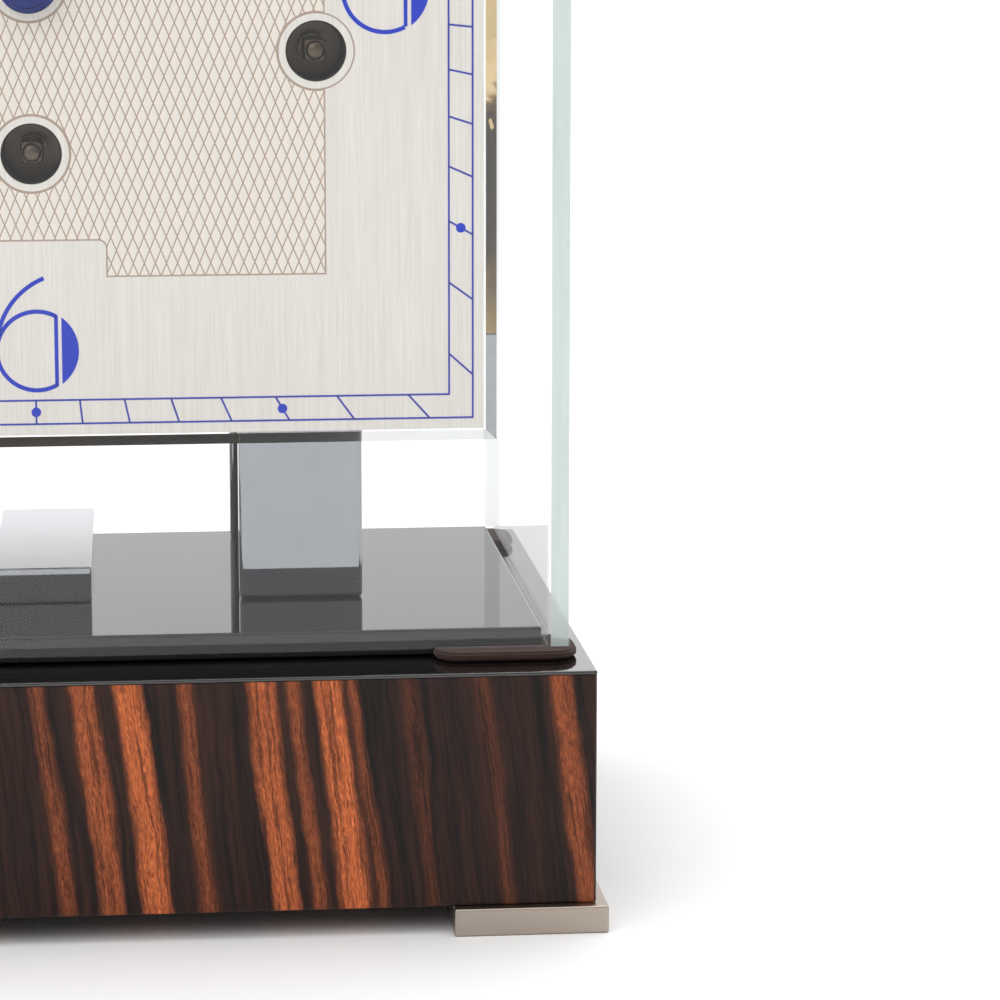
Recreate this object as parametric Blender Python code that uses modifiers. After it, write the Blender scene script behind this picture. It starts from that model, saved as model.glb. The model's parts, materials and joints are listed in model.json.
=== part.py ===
"""Square-dial mantel clock on chrome posts, under a lift-off glass cover, on a veneered base.

Metres, +Z up. The origin is the middle of the four feet's undersides, and the dial faces -Y.
"""

from math import cos, pi, radians, sin

import bmesh
import bpy
from mathutils import Matrix

MM = 0.001

# Fits.
GAP = 0.3 * MM  # between pieces that touch
JOINT_GAP = 0.1 * MM  # each side of a glued joint in wood or glass
JOINT_OVERLAP = 1 * MM  # how far one part of a piece runs into the next

# Dial and the bevelled glass plate behind it.
DIAL_SIDE = 176.6 * MM
DIAL_THICK = 1.5 * MM
DIAL_RAISED = 33.9 * MM  # from the slab's top to the bevelled plate's lower edge
DIAL_AHEAD = 20.5 * MM  # from the front plate's face to the dial's face
DIAL_GLASS_BORDER = 3 * MM  # the bevelled plate shows this much beyond the dial
DIAL_GLASS_THICK = 6 * MM
DIAL_GLASS_BEVEL = 2.4 * MM
DIAL_HOLE_RADIUS = 6 * MM
DIAL_FOOT_RADIUS = 2 * MM
DIAL_FOOT_X = 60 * MM
DIAL_FOOT_Z = 50 * MM
WIND_SIDE_X = 55.5 * MM
WIND_SIDE_DROP = 13.5 * MM
WIND_MIDDLE_DROP = 33 * MM

# Hands and the wheels behind the dial.
MINUTE_HAND_SHORT = 13.3 * MM  # from the minute hand's tip, pointing up, to the dial's edge
HOUR_HAND = 52 * MM
HAND_THICK = 0.9 * MM
HAND_BOSS = 4.8 * MM
HAND_BOSS_STEP = 1 * MM  # the hour hand's boss is this much larger
HAND_OPENING = 0.24  # half the angle of the boss that the blade takes up, in radians
HAND_SWELL = 0.30  # how far out the blade is widest, as a share of its length
HAND_WAIST = 0.9 * MM  # half the blade's width where it leaves the boss
MINUTE_HAND_HALF = 2.2 * MM
HOUR_HAND_HALF = 3.1 * MM
HAND_POINT_HALF = 0.5 * MM
HAND_POINT = 3 * MM  # the length of the point
HAND_ABOVE_DIAL = 3.6 * MM  # from the dial's face to the hour hand's face
HAND_SPACING = 2.4 * MM  # from the hour hand's face to the minute hand's face
NUT_RADIUS = 2.5 * MM
NUT_HEIGHT = 2.2 * MM
MINUTE_SHOWN = 10
HOUR_SHOWN = 10
ARBOR_RADIUS = 1.0 * MM
PIPE_WALL = 0.8 * MM
PINION_THICK = 2.5 * MM
MINUTE_PINION_LENGTH = 5.6 * MM
MINUTE_STUD_BORE = 1.2 * MM
WHEEL_THICK = 1.3 * MM
WHEEL_SPACING = 1.2 * MM  # between the cannon pinion and the hour wheel
MOTION_CLEAR = 1.5 * MM  # from the motion work to the front plate
CANNON_TEETH = 8
MINUTE_TEETH = 24
MINUTE_PINION_TEETH = 6
HOUR_TEETH = 24
MOTION_CENTRES = 12 * MM

# Movement frame.
PLATES_APART = 59.5 * MM  # over the outsides of both plates
PLATE_BEYOND = 13.5 * MM  # from a side winding arbor to the plates' side edge
PLATE_HEIGHT = 138 * MM
PLATE_THICK = 3 * MM
PLATE_DROP = 80.2 * MM  # from the middle of the dial to the plates' bottom edge
PILLAR_RADIUS = 5 * MM
PILLAR_WAIST_RADIUS = 3.6 * MM
PILLAR_RING = 4 * MM
PILLAR_END_RADIUS = 2.5 * MM
PILLAR_END_PROUD = 4.5 * MM
PILLAR_IN = 16.5 * MM  # from a pillar to the plates' side edge
PILLAR_LOW = 12 * MM  # from a plate's bottom edge to a lower pillar
PILLAR_HIGH = 12 * MM  # from a plate's top edge to an upper pillar

# Barrels, winding arbors and the centre wheel.
WIND_ARBOR_RADIUS = 3 * MM
WIND_SQUARE = 4.4 * MM
WIND_SQUARE_EDGE = 0.7 * MM
WIND_SQUARE_BEHIND = 4 * MM  # the square ends this far behind the bevelled plate
WIND_TIP_SUNK = 3.2 * MM  # from the dial's face to the tip of a winding square
WIND_ARBOR_PROUD = 2 * MM  # behind the rear plate
BARREL_CLEAR = 5 * MM  # from the front plate's inside to a barrel
GREAT_TEETH = 48
CENTRE_PINION_TEETH = 8
CENTRE_PINION_EXTRA = 3 * MM  # longer than the great wheel is thick
SIDE_GREAT_MODULE = 0.98 * MM
DRUM_RADIUS = 21 * MM
DRUM_LENGTH = 30 * MM
GREAT_THICK = 2.5 * MM
CENTRE_TEETH = 40
CENTRE_MODULE = 0.95 * MM
CENTRE_SPACING = 4.5 * MM  # from the great wheel to the centre wheel
CENTRE_ARBOR_PROUD = 1 * MM  # behind the rear plate
CENTRE_WINDOWS = 5
CENTRE_WINDOW_RADIUS = 4.6 * MM
CENTRE_WINDOW_OUT = 11 * MM
RATCHET_TEETH = 15
RATCHET_MODULE = 1.1 * MM
RATCHET_THICK = 1.8 * MM
RATCHET_CLEAR = 1.7 * MM  # from the front plate's face to a ratchet wheel

# Escapement on top of the plates.
PLATFORM_X = 46 * MM
PLATFORM_SIDE = 34 * MM
PLATFORM_THICK = 2.5 * MM
COCK_HEIGHT = 9 * MM
COCK_FOOT = 5 * MM
COCK_FOOT_DEEP = 7 * MM
COCK_WIDTH = 5 * MM
COCK_THICK = 1.5 * MM
COCK_BEYOND = 2.5 * MM  # past the balance's staff
BALANCE_RADIUS = 9 * MM
BALANCE_RIM = 2.4 * MM
BALANCE_ARM = 0.9 * MM  # half the width of the arm across the balance
BALANCE_THICK = 1.2 * MM
BALANCE_STAFF_RADIUS = 1.2 * MM

# Chime.
BELL_COUNT = 4
BELL_FIRST_X = -36 * MM
BELL_PITCH = 14 * MM
BELL_RADIUS = 18.5 * MM
BELL_STEP = 1.3 * MM  # each bell is this much smaller than the last
BELL_HOLLOW = 0.62  # a bell's depth as a share of its radius
BELL_WALL = 1.4 * MM
BELL_MOUTH = 1.5 * MM  # from a bell's mouth to its hammer
BELL_RISE = 22 * MM  # from the plates' top edge to the bell rod
BELL_AHEAD = 18 * MM  # from the rear plate's back to the bell rod
ROD_RADIUS = 2 * MM
ROD_BEND = 5 * MM
ROD_PILLAR_GAP = 4 * MM  # from an upper pillar's end to the upright of the rod
ROD_RIGHT = 14 * MM  # from the last bell to the end of the rod
ROD_DROP = 22 * MM  # from the plates' top edge to the rod's lower end
HAMMER_BACK = 8 * MM  # from the rear plate's back to the hammers' arbor
HAMMER_DROP = 10 * MM  # from the plates' top edge to the hammers' arbor
HAMMER_ARBOR_RADIUS = 1.5 * MM
HAMMER_BOSS_WALL = 1.3 * MM
HAMMER_BOSS_HALF = 2 * MM
HAMMER_ARM = 2 * MM
HAMMER_TAIL = 1.5 * MM
HAMMER_ROOT = 0.6 * MM  # an arm or a tail starts this far outside the boss's bore
HAMMER_HEAD_RADIUS = 3.4 * MM
HAMMER_HEAD_BACK = 3 * MM  # behind the hammers' arbor
HAMMER_CLEAR = 1.4 * MM
CHIME_DRUM_RADIUS = 5.5 * MM
CHIME_DRUM_CORE = 3.3 * MM
CHIME_DRUM_NECK = 2 * MM
CHIME_DRUM_END = 4 * MM
CHIME_CAM_HALF = 2 * MM
CHIME_CAM_SLOPE = 0.5 * MM
CHIME_DRUM_DROP = 31 * MM
CHIME_DRUM_CLEAR = 1 * MM  # from the drum to a hammer's tail
CHIME_FRAME_SPAN = 64 * MM
CHIME_SHEET = 1.5 * MM
CHIME_CHEEK_BEYOND = 4.5 * MM  # behind the hammers' arbor
CHIME_FRAME_TOP = 3 * MM  # from the plates' top edge to the frame's
CHIME_FRAME_BELOW = 3 * MM  # below the drum

# Chrome posts and the bar between them.
POST_WIDTH = 25 * MM
POST_THICK = 6 * MM
POST_ABOVE = 10 * MM  # from a lower pillar to a post's top
POST_EDGE = 1 * MM
TENON_RADIUS = 3 * MM
TENON_LENGTH = 11 * MM
BAR_WIDTH = 20 * MM
BAR_HEIGHT = 7 * MM
BAR_SHORT = 5.5 * MM  # from the bar's rear end to the rear posts' back

# Black glass slab that carries the stand.
SLAB_SIDE_MARGIN = 6.7 * MM  # beyond the bevelled plate
SLAB_AHEAD = 16.5 * MM  # from the slab's front to the dial's face
SLAB_BEHIND = 2.5 * MM  # from the rear posts' back to the slab's rear
SLAB_THICK = 5.2 * MM
SLAB_EDGE = 0.4 * MM

# Glass cover.
GLASS = 4.2 * MM
COVER_SIDE_GAP = 0.8 * MM  # between the slab's ends and the glass
COVER_SETBACK = 10 * MM  # from the base's front and rear
DIAL_HEADROOM = 18.1 * MM  # from the bevelled plate's upper edge to the glass
BELL_HEADROOM = 5 * MM  # from the largest bell to the glass
PAD_WIDTH = 28 * MM
PAD_DEPTH = 16 * MM
PAD_THICK = 1.7 * MM
PAD_PROUD = 1.6 * MM
PAD_CORNER = 5 * MM

# Base: a veneered box on four metal feet.
BASE_SIDE_MARGIN = 4 * MM  # from the cover's side to the base's side
SLAB_SETBACK = 15 * MM  # from the base's front to the slab's front
SLAB_REAR_MARGIN = 24 * MM  # from the slab's rear to the base's rear
BASE_HEIGHT = 46 * MM
WALL = 10 * MM
TOP_LIP = 0.8 * MM
PANEL = 8 * MM
FOOT_SIDE = 30 * MM
FOOT_HEIGHT = 5.2 * MM
FOOT_PROUD = 2.2 * MM
FOOT_EDGE = 0.5 * MM
STUD_RADIUS = 3 * MM
STUD_INSET = 6 * MM

# Widths, from the dial outwards.
DIAL_GLASS_SIDE = DIAL_SIDE + 2 * DIAL_GLASS_BORDER
SLAB_WIDTH = DIAL_GLASS_SIDE + 2 * SLAB_SIDE_MARGIN
COVER_WIDTH = SLAB_WIDTH + 2 * (COVER_SIDE_GAP + GLASS)
BASE_WIDTH = COVER_WIDTH + 2 * BASE_SIDE_MARGIN
PLATE_WIDTH = 2 * (WIND_SIDE_X + PLATE_BEYOND)
POST_OFFSET = PLATE_WIDTH / 2 - PILLAR_IN
MINUTE_HAND = DIAL_SIDE / 2 - MINUTE_HAND_SHORT

# Levels, from the bottom up.
BASE_BOTTOM = FOOT_HEIGHT + GAP
BASE_TOP = BASE_BOTTOM + BASE_HEIGHT
SLAB_TOP = BASE_TOP + GAP + SLAB_THICK
PAD_TOP = BASE_TOP + GAP + PAD_THICK
COVER_BOTTOM = PAD_TOP + GAP
DIAL_MIDDLE = SLAB_TOP + DIAL_RAISED + DIAL_GLASS_SIDE / 2
PLATE_BOTTOM = DIAL_MIDDLE - PLATE_DROP
PLATE_TOP = PLATE_BOTTOM + PLATE_HEIGHT
POST_HEIGHT = PLATE_BOTTOM + PILLAR_LOW + POST_ABOVE - SLAB_TOP
BELL_AXIS_Z = PLATE_TOP + BELL_RISE
COVER_INNER_TOP = max(
    DIAL_MIDDLE + DIAL_GLASS_SIDE / 2 + DIAL_HEADROOM, BELL_AXIS_Z + BELL_RADIUS + BELL_HEADROOM
)
COVER_HEIGHT = COVER_INNER_TOP + GLASS - COVER_BOTTOM

# Depths, from the front back.
POST_SETBACK = SLAB_AHEAD + DIAL_AHEAD - POST_THICK
SLAB_DEPTH = POST_SETBACK + 2 * POST_THICK + PLATES_APART + SLAB_BEHIND
BASE_DEPTH = SLAB_SETBACK + SLAB_DEPTH + SLAB_REAR_MARGIN
BASE_FRONT = -BASE_DEPTH / 2
SLAB_FRONT = BASE_FRONT + SLAB_SETBACK
POST_FRONT = SLAB_FRONT + POST_SETBACK
PLATE_FRONT = POST_FRONT + POST_THICK
PLATE_BACK = PLATE_FRONT + PLATES_APART
PLATE_FRONT_INNER = PLATE_FRONT + PLATE_THICK
PLATE_BACK_INNER = PLATE_BACK - PLATE_THICK
DIAL_FACE = PLATE_FRONT - DIAL_AHEAD
DIAL_BACK = DIAL_FACE + DIAL_THICK
DIAL_GLASS_FACE = DIAL_BACK + GAP
DIAL_GLASS_BACK = DIAL_GLASS_FACE + DIAL_GLASS_THICK
BAR_LENGTH = PLATES_APART + 2 * POST_THICK - BAR_SHORT

FACING_FRONT = (pi / 2, 0, 0)  # turns a flat outline drawn in X and Y to stand in X and Z, facing -Y


def clear_scene():
    for old in list(bpy.data.objects):
        bpy.data.objects.remove(old, do_unlink=True)


def new_collection(name):
    made = bpy.data.collections.new(name)
    bpy.context.scene.collection.children.link(made)
    return made


def finish(name, colour, roughness, metallic=0.0, transmission=0.0):
    made = bpy.data.materials.new(name)
    made.use_nodes = True
    shader = made.node_tree.nodes["Principled BSDF"]
    shader.inputs["Base Color"].default_value = (*colour, 1)
    shader.inputs["Roughness"].default_value = roughness
    shader.inputs["Metallic"].default_value = metallic
    shader.inputs["Transmission Weight"].default_value = transmission
    made.diffuse_color = (*colour, 1)
    return made


def place(name, data, surface, at=(0, 0, 0), turn=(0, 0, 0), into=None):
    made = bpy.data.objects.new(name, data)
    made.location = at
    made.rotation_euler = turn
    (into or parts).objects.link(made)
    if surface:
        data.materials.append(surface)
    return made


def mesh_from(build, name):
    """A mesh filled by build, which takes the bmesh."""
    work = bmesh.new()
    build(work)
    made = bpy.data.meshes.new(name)
    work.to_mesh(made)
    work.free()
    return made


def block_mesh(name, size):
    def build(work):
        bmesh.ops.create_cube(work, size=1)
        bmesh.ops.scale(work, vec=size, verts=work.verts)

    return mesh_from(build, name)


def block(name, surface, size, at, edge=0.0, into=None):
    made = place(name, block_mesh(name, size), surface, at, into=into)
    if edge:
        rounding = made.modifiers.new("edges", "BEVEL")
        rounding.width = edge
        rounding.segments = 2
    return made


def rod(name, surface, radius, length, at, turn=(0, 0, 0), sides=16, into=None):
    """A cylinder along its own Z."""

    def build(work):
        bmesh.ops.create_cone(
            work, cap_ends=True, segments=sides, radius1=radius, radius2=radius, depth=length
        )

    made = place(name, mesh_from(build, name), surface, at, turn, into)
    made.data.shade_smooth()
    made.data.set_sharp_from_angle(angle=radians(40))
    return made


def turned(name, surface, profile, at, turn=(0, 0, 0), steps=20, closed=False):
    """A turned piece about its own Z from (radius, height) points, outer side top to bottom."""
    made = bpy.data.meshes.new(name)
    count = len(profile)
    edges = [(i, i + 1) for i in range(count - 1)]
    if closed:
        edges.append((count - 1, 0))
    made.from_pydata([(radius, 0, height) for radius, height in profile], edges, [])
    piece = place(name, made, surface, at, turn)
    lathe = piece.modifiers.new("lathe", "SCREW")
    lathe.steps = lathe.render_steps = steps
    lathe.use_merge_vertices = True
    lathe.merge_threshold = 0.00001
    return piece


def tube_profile(outer, inner, low, high):
    return [(outer, high), (outer, low), (inner, low), (inner, high)]


def flat(name, surface, outlines, thickness, at, turn=(0, 0, 0), into=None):
    """A flat plate: the first outline is its edge and the others are holes."""
    curve = bpy.data.curves.new(name, "CURVE")
    curve.dimensions = "2D"
    curve.fill_mode = "BOTH"
    curve.extrude = thickness / 2
    for outline in outlines:
        spline = curve.splines.new("POLY")
        spline.points.add(len(outline) - 1)
        for point, (x, y) in zip(spline.points, outline):
            point.co = (x, y, 0, 1)
        spline.use_cyclic_u = True
    drawn = place(name, curve, surface, at, turn, into)
    bpy.context.view_layer.update()
    evaluated = drawn.evaluated_get(bpy.context.evaluated_depsgraph_get())
    solid = bpy.data.meshes.new_from_object(evaluated)
    work = bmesh.new()
    work.from_mesh(solid)
    bmesh.ops.remove_doubles(work, verts=work.verts, dist=0.000001)
    bmesh.ops.recalc_face_normals(work, faces=work.faces)
    work.to_mesh(solid)
    work.free()
    made = bpy.data.objects.new(name, solid)
    made.matrix_world = drawn.matrix_world.copy()
    (into or parts).objects.link(made)
    bpy.data.objects.remove(drawn)
    bpy.data.curves.remove(curve)
    made.name = name
    return made


def ring_of(radius, middle=(0, 0), sides=16):
    return [
        (middle[0] + radius * cos(2 * pi * i / sides), middle[1] + radius * sin(2 * pi * i / sides))
        for i in range(sides)
    ]


def rectangle(width, height, middle=(0, 0)):
    x, y = middle
    return [
        (x - width / 2, y - height / 2),
        (x + width / 2, y - height / 2),
        (x + width / 2, y + height / 2),
        (x - width / 2, y + height / 2),
    ]


def round_rectangle(width, height, radius, middle=(0, 0), steps=4):
    points = []
    for corner, (sx, sy) in enumerate(((1, 1), (-1, 1), (-1, -1), (1, -1))):
        for step in range(steps + 1):
            angle = (corner + step / steps) * pi / 2
            points.append(
                (
                    middle[0] + sx * (width / 2 - radius) + radius * cos(angle),
                    middle[1] + sy * (height / 2 - radius) + radius * sin(angle),
                )
            )
    return points


def gear_outline(teeth, module, phase=0.0):
    """Straight-flanked teeth, thinner than the spaces, with a tooth in the direction of phase."""
    pitch = teeth * module / 2
    tip = pitch + 0.8 * module
    root = pitch - 1.25 * module
    points = []
    for tooth in range(teeth):
        middle = phase + 2 * pi * tooth / teeth
        for radius, share in ((root, -0.30), (tip, -0.11), (tip, 0.11), (root, 0.30)):
            angle = middle + share * 2 * pi / teeth
            points.append((radius * cos(angle), radius * sin(angle)))
    return points


def ratchet_outline(teeth, module):
    pitch = teeth * module / 2
    points = []
    for tooth in range(teeth):
        start = 2 * pi * tooth / teeth
        points.append((pitch * cos(start), pitch * sin(start)))
        points.append(((pitch - module) * cos(start), (pitch - module) * sin(start)))
    return points


def carve(piece, cutter, operation="DIFFERENCE"):
    """A Boolean with a helper that stays out of the model."""
    cutter.hide_render = True
    cutter.display_type = "WIRE"
    step = piece.modifiers.new(operation.lower(), "BOOLEAN")
    step.operation = operation
    step.solver = "EXACT"
    step.object = cutter


def join(piece, other):
    carve(piece, other, "UNION")


def behind(depth, height=0.0, across=0.0):
    """A place given by its depth from the front, for pieces on the dial's own axes."""
    return (across, depth, height)


clear_scene()
parts = new_collection("mantel_clock")
cutters = new_collection("cutters")

ebony = finish("macassar_veneer", (0.16, 0.07, 0.04), 0.18)
ebonised = finish("black_lacquer", (0.01, 0.01, 0.012), 0.08)
nickel = finish("brushed_nickel", (0.62, 0.56, 0.50), 0.35, 1.0)
chrome = finish("polished_chrome", (0.75, 0.75, 0.78), 0.05, 1.0)
satin = finish("satin_silver", (0.68, 0.68, 0.71), 0.35, 1.0)
black_glass = finish("black_glass", (0.01, 0.01, 0.012), 0.03)
clear_glass = finish("clear_glass", (0.85, 0.93, 0.89), 0.02, 0.0, 1.0)
felt = finish("brown_felt", (0.08, 0.04, 0.035), 0.95)
silvered = finish("silvered_dial", (0.71, 0.67, 0.63), 0.32, 0.9)
blued = finish("blued_steel", (0.01, 0.02, 0.12), 0.2, 0.8)
brass = finish("lacquered_brass", (0.72, 0.50, 0.20), 0.25, 1.0)
steel = finish("polished_steel", (0.56, 0.57, 0.58), 0.2, 1.0)
bell_metal = finish("bell_metal", (0.72, 0.60, 0.36), 0.22, 1.0)

SIDES = {"left": -1, "right": 1}
ENDS = {"front": -1, "rear": 1}
CORNERS = [(f"{end}_{side}", sx, sy) for side, sx in SIDES.items() for end, sy in ENDS.items()]


def foot_middle(sx, sy):
    return (
        sx * (BASE_WIDTH / 2 + FOOT_PROUD - FOOT_SIDE / 2),
        sy * (BASE_DEPTH / 2 + FOOT_PROUD - FOOT_SIDE / 2),
    )


def stud_middle(sx, sy):
    x, y = foot_middle(sx, sy)
    return x - sx * STUD_INSET, y - sy * STUD_INSET


def make_feet():
    for corner, sx, sy in CORNERS:
        x, y = foot_middle(sx, sy)
        foot = block(
            f"foot_{corner}", nickel, (FOOT_SIDE, FOOT_SIDE, FOOT_HEIGHT), (x, y, FOOT_HEIGHT / 2), FOOT_EDGE
        )
        stud_x, stud_y = stud_middle(sx, sy)
        stud_bottom = FOOT_HEIGHT / 2
        stud_top = BASE_BOTTOM + PANEL - GAP
        stud = rod(
            f"stud_{corner}",
            None,
            STUD_RADIUS,
            stud_top - stud_bottom,
            (stud_x, stud_y, (stud_top + stud_bottom) / 2),
            into=cutters,
        )
        join(foot, stud)


def make_base():
    wall_height = BASE_HEIGHT - TOP_LIP - JOINT_GAP
    middle = BASE_BOTTOM + wall_height / 2
    half_w = BASE_WIDTH / 2
    half_d = BASE_DEPTH / 2
    for end, sy in ENDS.items():
        outline = [
            (-half_w + JOINT_GAP, sy * half_d),
            (half_w - JOINT_GAP, sy * half_d),
            (half_w - WALL - JOINT_GAP, sy * (half_d - WALL)),
            (-half_w + WALL + JOINT_GAP, sy * (half_d - WALL)),
        ]
        flat(f"base_{end}", ebony, [outline], wall_height, (0, 0, middle))
    for side, sx in SIDES.items():
        outline = [
            (sx * half_w, -half_d + JOINT_GAP),
            (sx * half_w, half_d - JOINT_GAP),
            (sx * (half_w - WALL), half_d - WALL - JOINT_GAP),
            (sx * (half_w - WALL), -half_d + WALL + JOINT_GAP),
        ]
        flat(f"base_{side}", ebony, [outline], wall_height, (0, 0, middle))
    inner_w = BASE_WIDTH - 2 * WALL - 2 * GAP
    inner_d = BASE_DEPTH - 2 * WALL - 2 * GAP
    holes = [ring_of(STUD_RADIUS + GAP, stud_middle(sx, sy)) for _, sx, sy in CORNERS]
    flat(
        "base_bottom",
        ebonised,
        [rectangle(inner_w, inner_d), *holes],
        PANEL,
        (0, 0, BASE_BOTTOM + PANEL / 2),
    )
    top = block(
        "base_top", ebonised, (BASE_WIDTH, BASE_DEPTH, TOP_LIP), (0, 0, BASE_TOP - TOP_LIP / 2)
    )
    core = block(
        "top_core",
        None,
        (inner_w, inner_d, PANEL),
        (0, 0, BASE_TOP - TOP_LIP / 2 - PANEL / 2),
        into=cutters,
    )
    join(top, core)
    for corner, sx, sy in CORNERS:
        carve(top, tenon_hole(f"top_hole_{corner}", sx, sy))


def post_middle(sy):
    """The depth of the middle of the front or rear posts."""
    if sy < 0:
        return POST_FRONT + POST_THICK / 2
    return PLATE_BACK + POST_THICK / 2


def tenon_hole(name, sx, sy):
    return rod(
        name,
        None,
        TENON_RADIUS + GAP,
        2 * TENON_LENGTH + 2 * GAP,
        (sx * POST_OFFSET, post_middle(sy), SLAB_TOP),
        into=cutters,
    )


def make_slab():
    slab_middle = SLAB_FRONT + SLAB_DEPTH / 2
    slab = block(
        "stand_slab",
        black_glass,
        (SLAB_WIDTH, SLAB_DEPTH, SLAB_THICK),
        (0, slab_middle, SLAB_TOP - SLAB_THICK / 2),
        SLAB_EDGE,
    )
    for corner, sx, sy in CORNERS:
        carve(slab, tenon_hole(f"slab_hole_{corner}", sx, sy))


def make_cover():
    depth = BASE_DEPTH - 2 * COVER_SETBACK
    side_height = COVER_HEIGHT - GLASS - JOINT_GAP
    middle = COVER_BOTTOM + side_height / 2
    for side, sx in SIDES.items():
        x = sx * (COVER_WIDTH / 2 - GLASS / 2)
        block(f"glass_{side}", clear_glass, (GLASS, depth, side_height), (x, 0, middle))
    inner = COVER_WIDTH - 2 * GLASS - 2 * JOINT_GAP
    for end, sy in ENDS.items():
        y = sy * (depth / 2 - GLASS / 2)
        block(f"glass_{end}", clear_glass, (inner, GLASS, side_height), (0, y, middle))
    top = COVER_BOTTOM + COVER_HEIGHT - GLASS / 2
    block("glass_top", clear_glass, (COVER_WIDTH, depth, GLASS), (0, 0, top))


def make_pads():
    for corner, sx, sy in CORNERS:
        x = sx * (COVER_WIDTH / 2 + PAD_PROUD - PAD_WIDTH / 2)
        y = sy * (BASE_DEPTH / 2 - COVER_SETBACK + PAD_PROUD - PAD_DEPTH / 2)
        outline = round_rectangle(PAD_WIDTH, PAD_DEPTH, PAD_CORNER)
        pad = flat(f"felt_pad_{corner}", felt, [outline], PAD_THICK, (x, y, PAD_TOP - PAD_THICK / 2))
        slab_clear = block(
            f"pad_clear_{corner}",
            None,
            (SLAB_WIDTH + 2 * GAP, SLAB_DEPTH + 2 * GAP, 4 * PAD_THICK),
            (0, SLAB_FRONT + SLAB_DEPTH / 2, PAD_TOP),
            into=cutters,
        )
        carve(pad, slab_clear)


def make_stand():
    for corner, sx, sy in CORNERS:
        bottom = SLAB_TOP + GAP
        at = (sx * POST_OFFSET, post_middle(sy), bottom + POST_HEIGHT / 2)
        post = block(f"post_{corner}", chrome, (POST_WIDTH, POST_THICK, POST_HEIGHT), at, POST_EDGE)
        tenon = rod(
            f"tenon_{corner}",
            None,
            TENON_RADIUS,
            2 * TENON_LENGTH,
            (sx * POST_OFFSET, post_middle(sy), SLAB_TOP),
            into=cutters,
        )
        join(post, tenon)
        hole = rod(
            f"post_hole_{corner}",
            None,
            PILLAR_END_RADIUS + GAP,
            3 * POST_THICK,
            (sx * POST_OFFSET, post_middle(sy), PLATE_BOTTOM + PILLAR_LOW),
            FACING_FRONT,
            into=cutters,
        )
        carve(post, hole)
    block(
        "tie_bar",
        satin,
        (BAR_WIDTH, BAR_LENGTH, BAR_HEIGHT),
        (0, POST_FRONT + BAR_LENGTH / 2, SLAB_TOP + GAP + BAR_HEIGHT / 2),
        SLAB_EDGE,
    )


PILLARS = [
    (f"{level}_{side}", sx * POST_OFFSET, z)
    for level, z in (("lower", PLATE_BOTTOM + PILLAR_LOW), ("upper", PLATE_TOP - PILLAR_HIGH))
    for side, sx in SIDES.items()
]
WINDING = {
    "strike": (-WIND_SIDE_X, DIAL_MIDDLE - WIND_SIDE_DROP),
    "going": (0.0, DIAL_MIDDLE - WIND_MIDDLE_DROP),
    "chime": (WIND_SIDE_X, DIAL_MIDDLE - WIND_SIDE_DROP),
}


def make_frame():
    plate_middle = (PLATE_TOP + PLATE_BOTTOM) / 2
    for end, depth in (("front", PLATE_FRONT), ("rear", PLATE_BACK_INNER)):
        holes = [ring_of(PILLAR_END_RADIUS + GAP, (x, z - plate_middle)) for _, x, z in PILLARS]
        holes += [
            ring_of(WIND_ARBOR_RADIUS + GAP, (x, z - plate_middle)) for x, z in WINDING.values()
        ]
        holes.append(ring_of(ARBOR_RADIUS + GAP, (0, DIAL_MIDDLE - plate_middle)))
        flat(
            f"{end}_plate",
            brass,
            [round_rectangle(PLATE_WIDTH, PLATE_HEIGHT, PILLAR_RADIUS), *holes],
            PLATE_THICK,
            behind(depth + PLATE_THICK / 2, plate_middle),
            FACING_FRONT,
        )
    for name, x, z in PILLARS:
        end_front = POST_FRONT - PILLAR_END_PROUD
        end_back = PLATE_BACK + POST_THICK + PILLAR_END_PROUD
        if name.startswith("upper"):
            end_front = PLATE_FRONT - PILLAR_END_PROUD
            end_back = PLATE_BACK + PILLAR_END_PROUD
        shoulder_front = PLATE_FRONT_INNER + GAP
        shoulder_back = PLATE_BACK_INNER - GAP
        profile = [
            (0, -end_front),
            (PILLAR_END_RADIUS, -end_front),
            (PILLAR_END_RADIUS, -shoulder_front),
            (PILLAR_RADIUS, -shoulder_front),
            (PILLAR_RADIUS, -shoulder_front - PILLAR_RING),
            (PILLAR_WAIST_RADIUS, -shoulder_front - 2 * PILLAR_RING),
            (PILLAR_WAIST_RADIUS, -shoulder_back + 2 * PILLAR_RING),
            (PILLAR_RADIUS, -shoulder_back + PILLAR_RING),
            (PILLAR_RADIUS, -shoulder_back),
            (PILLAR_END_RADIUS, -shoulder_back),
            (PILLAR_END_RADIUS, -end_back),
            (0, -end_back),
        ]
        turned(f"pillar_{name}", brass, profile, (x, 0, z), FACING_FRONT, 14)


def dial_places(include_feet):
    """(name, radius, x, z from the dial's middle) of each hole behind the dial."""
    places = [("centre", DIAL_HOLE_RADIUS, 0.0, 0.0)]
    places += [(name, DIAL_HOLE_RADIUS, x, z - DIAL_MIDDLE) for name, (x, z) in WINDING.items()]
    if include_feet:
        places += [
            (f"foot_{corner}", DIAL_FOOT_RADIUS + GAP, sx * DIAL_FOOT_X, sz * DIAL_FOOT_Z)
            for corner, sx, sz in CORNERS
        ]
    return places


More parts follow.
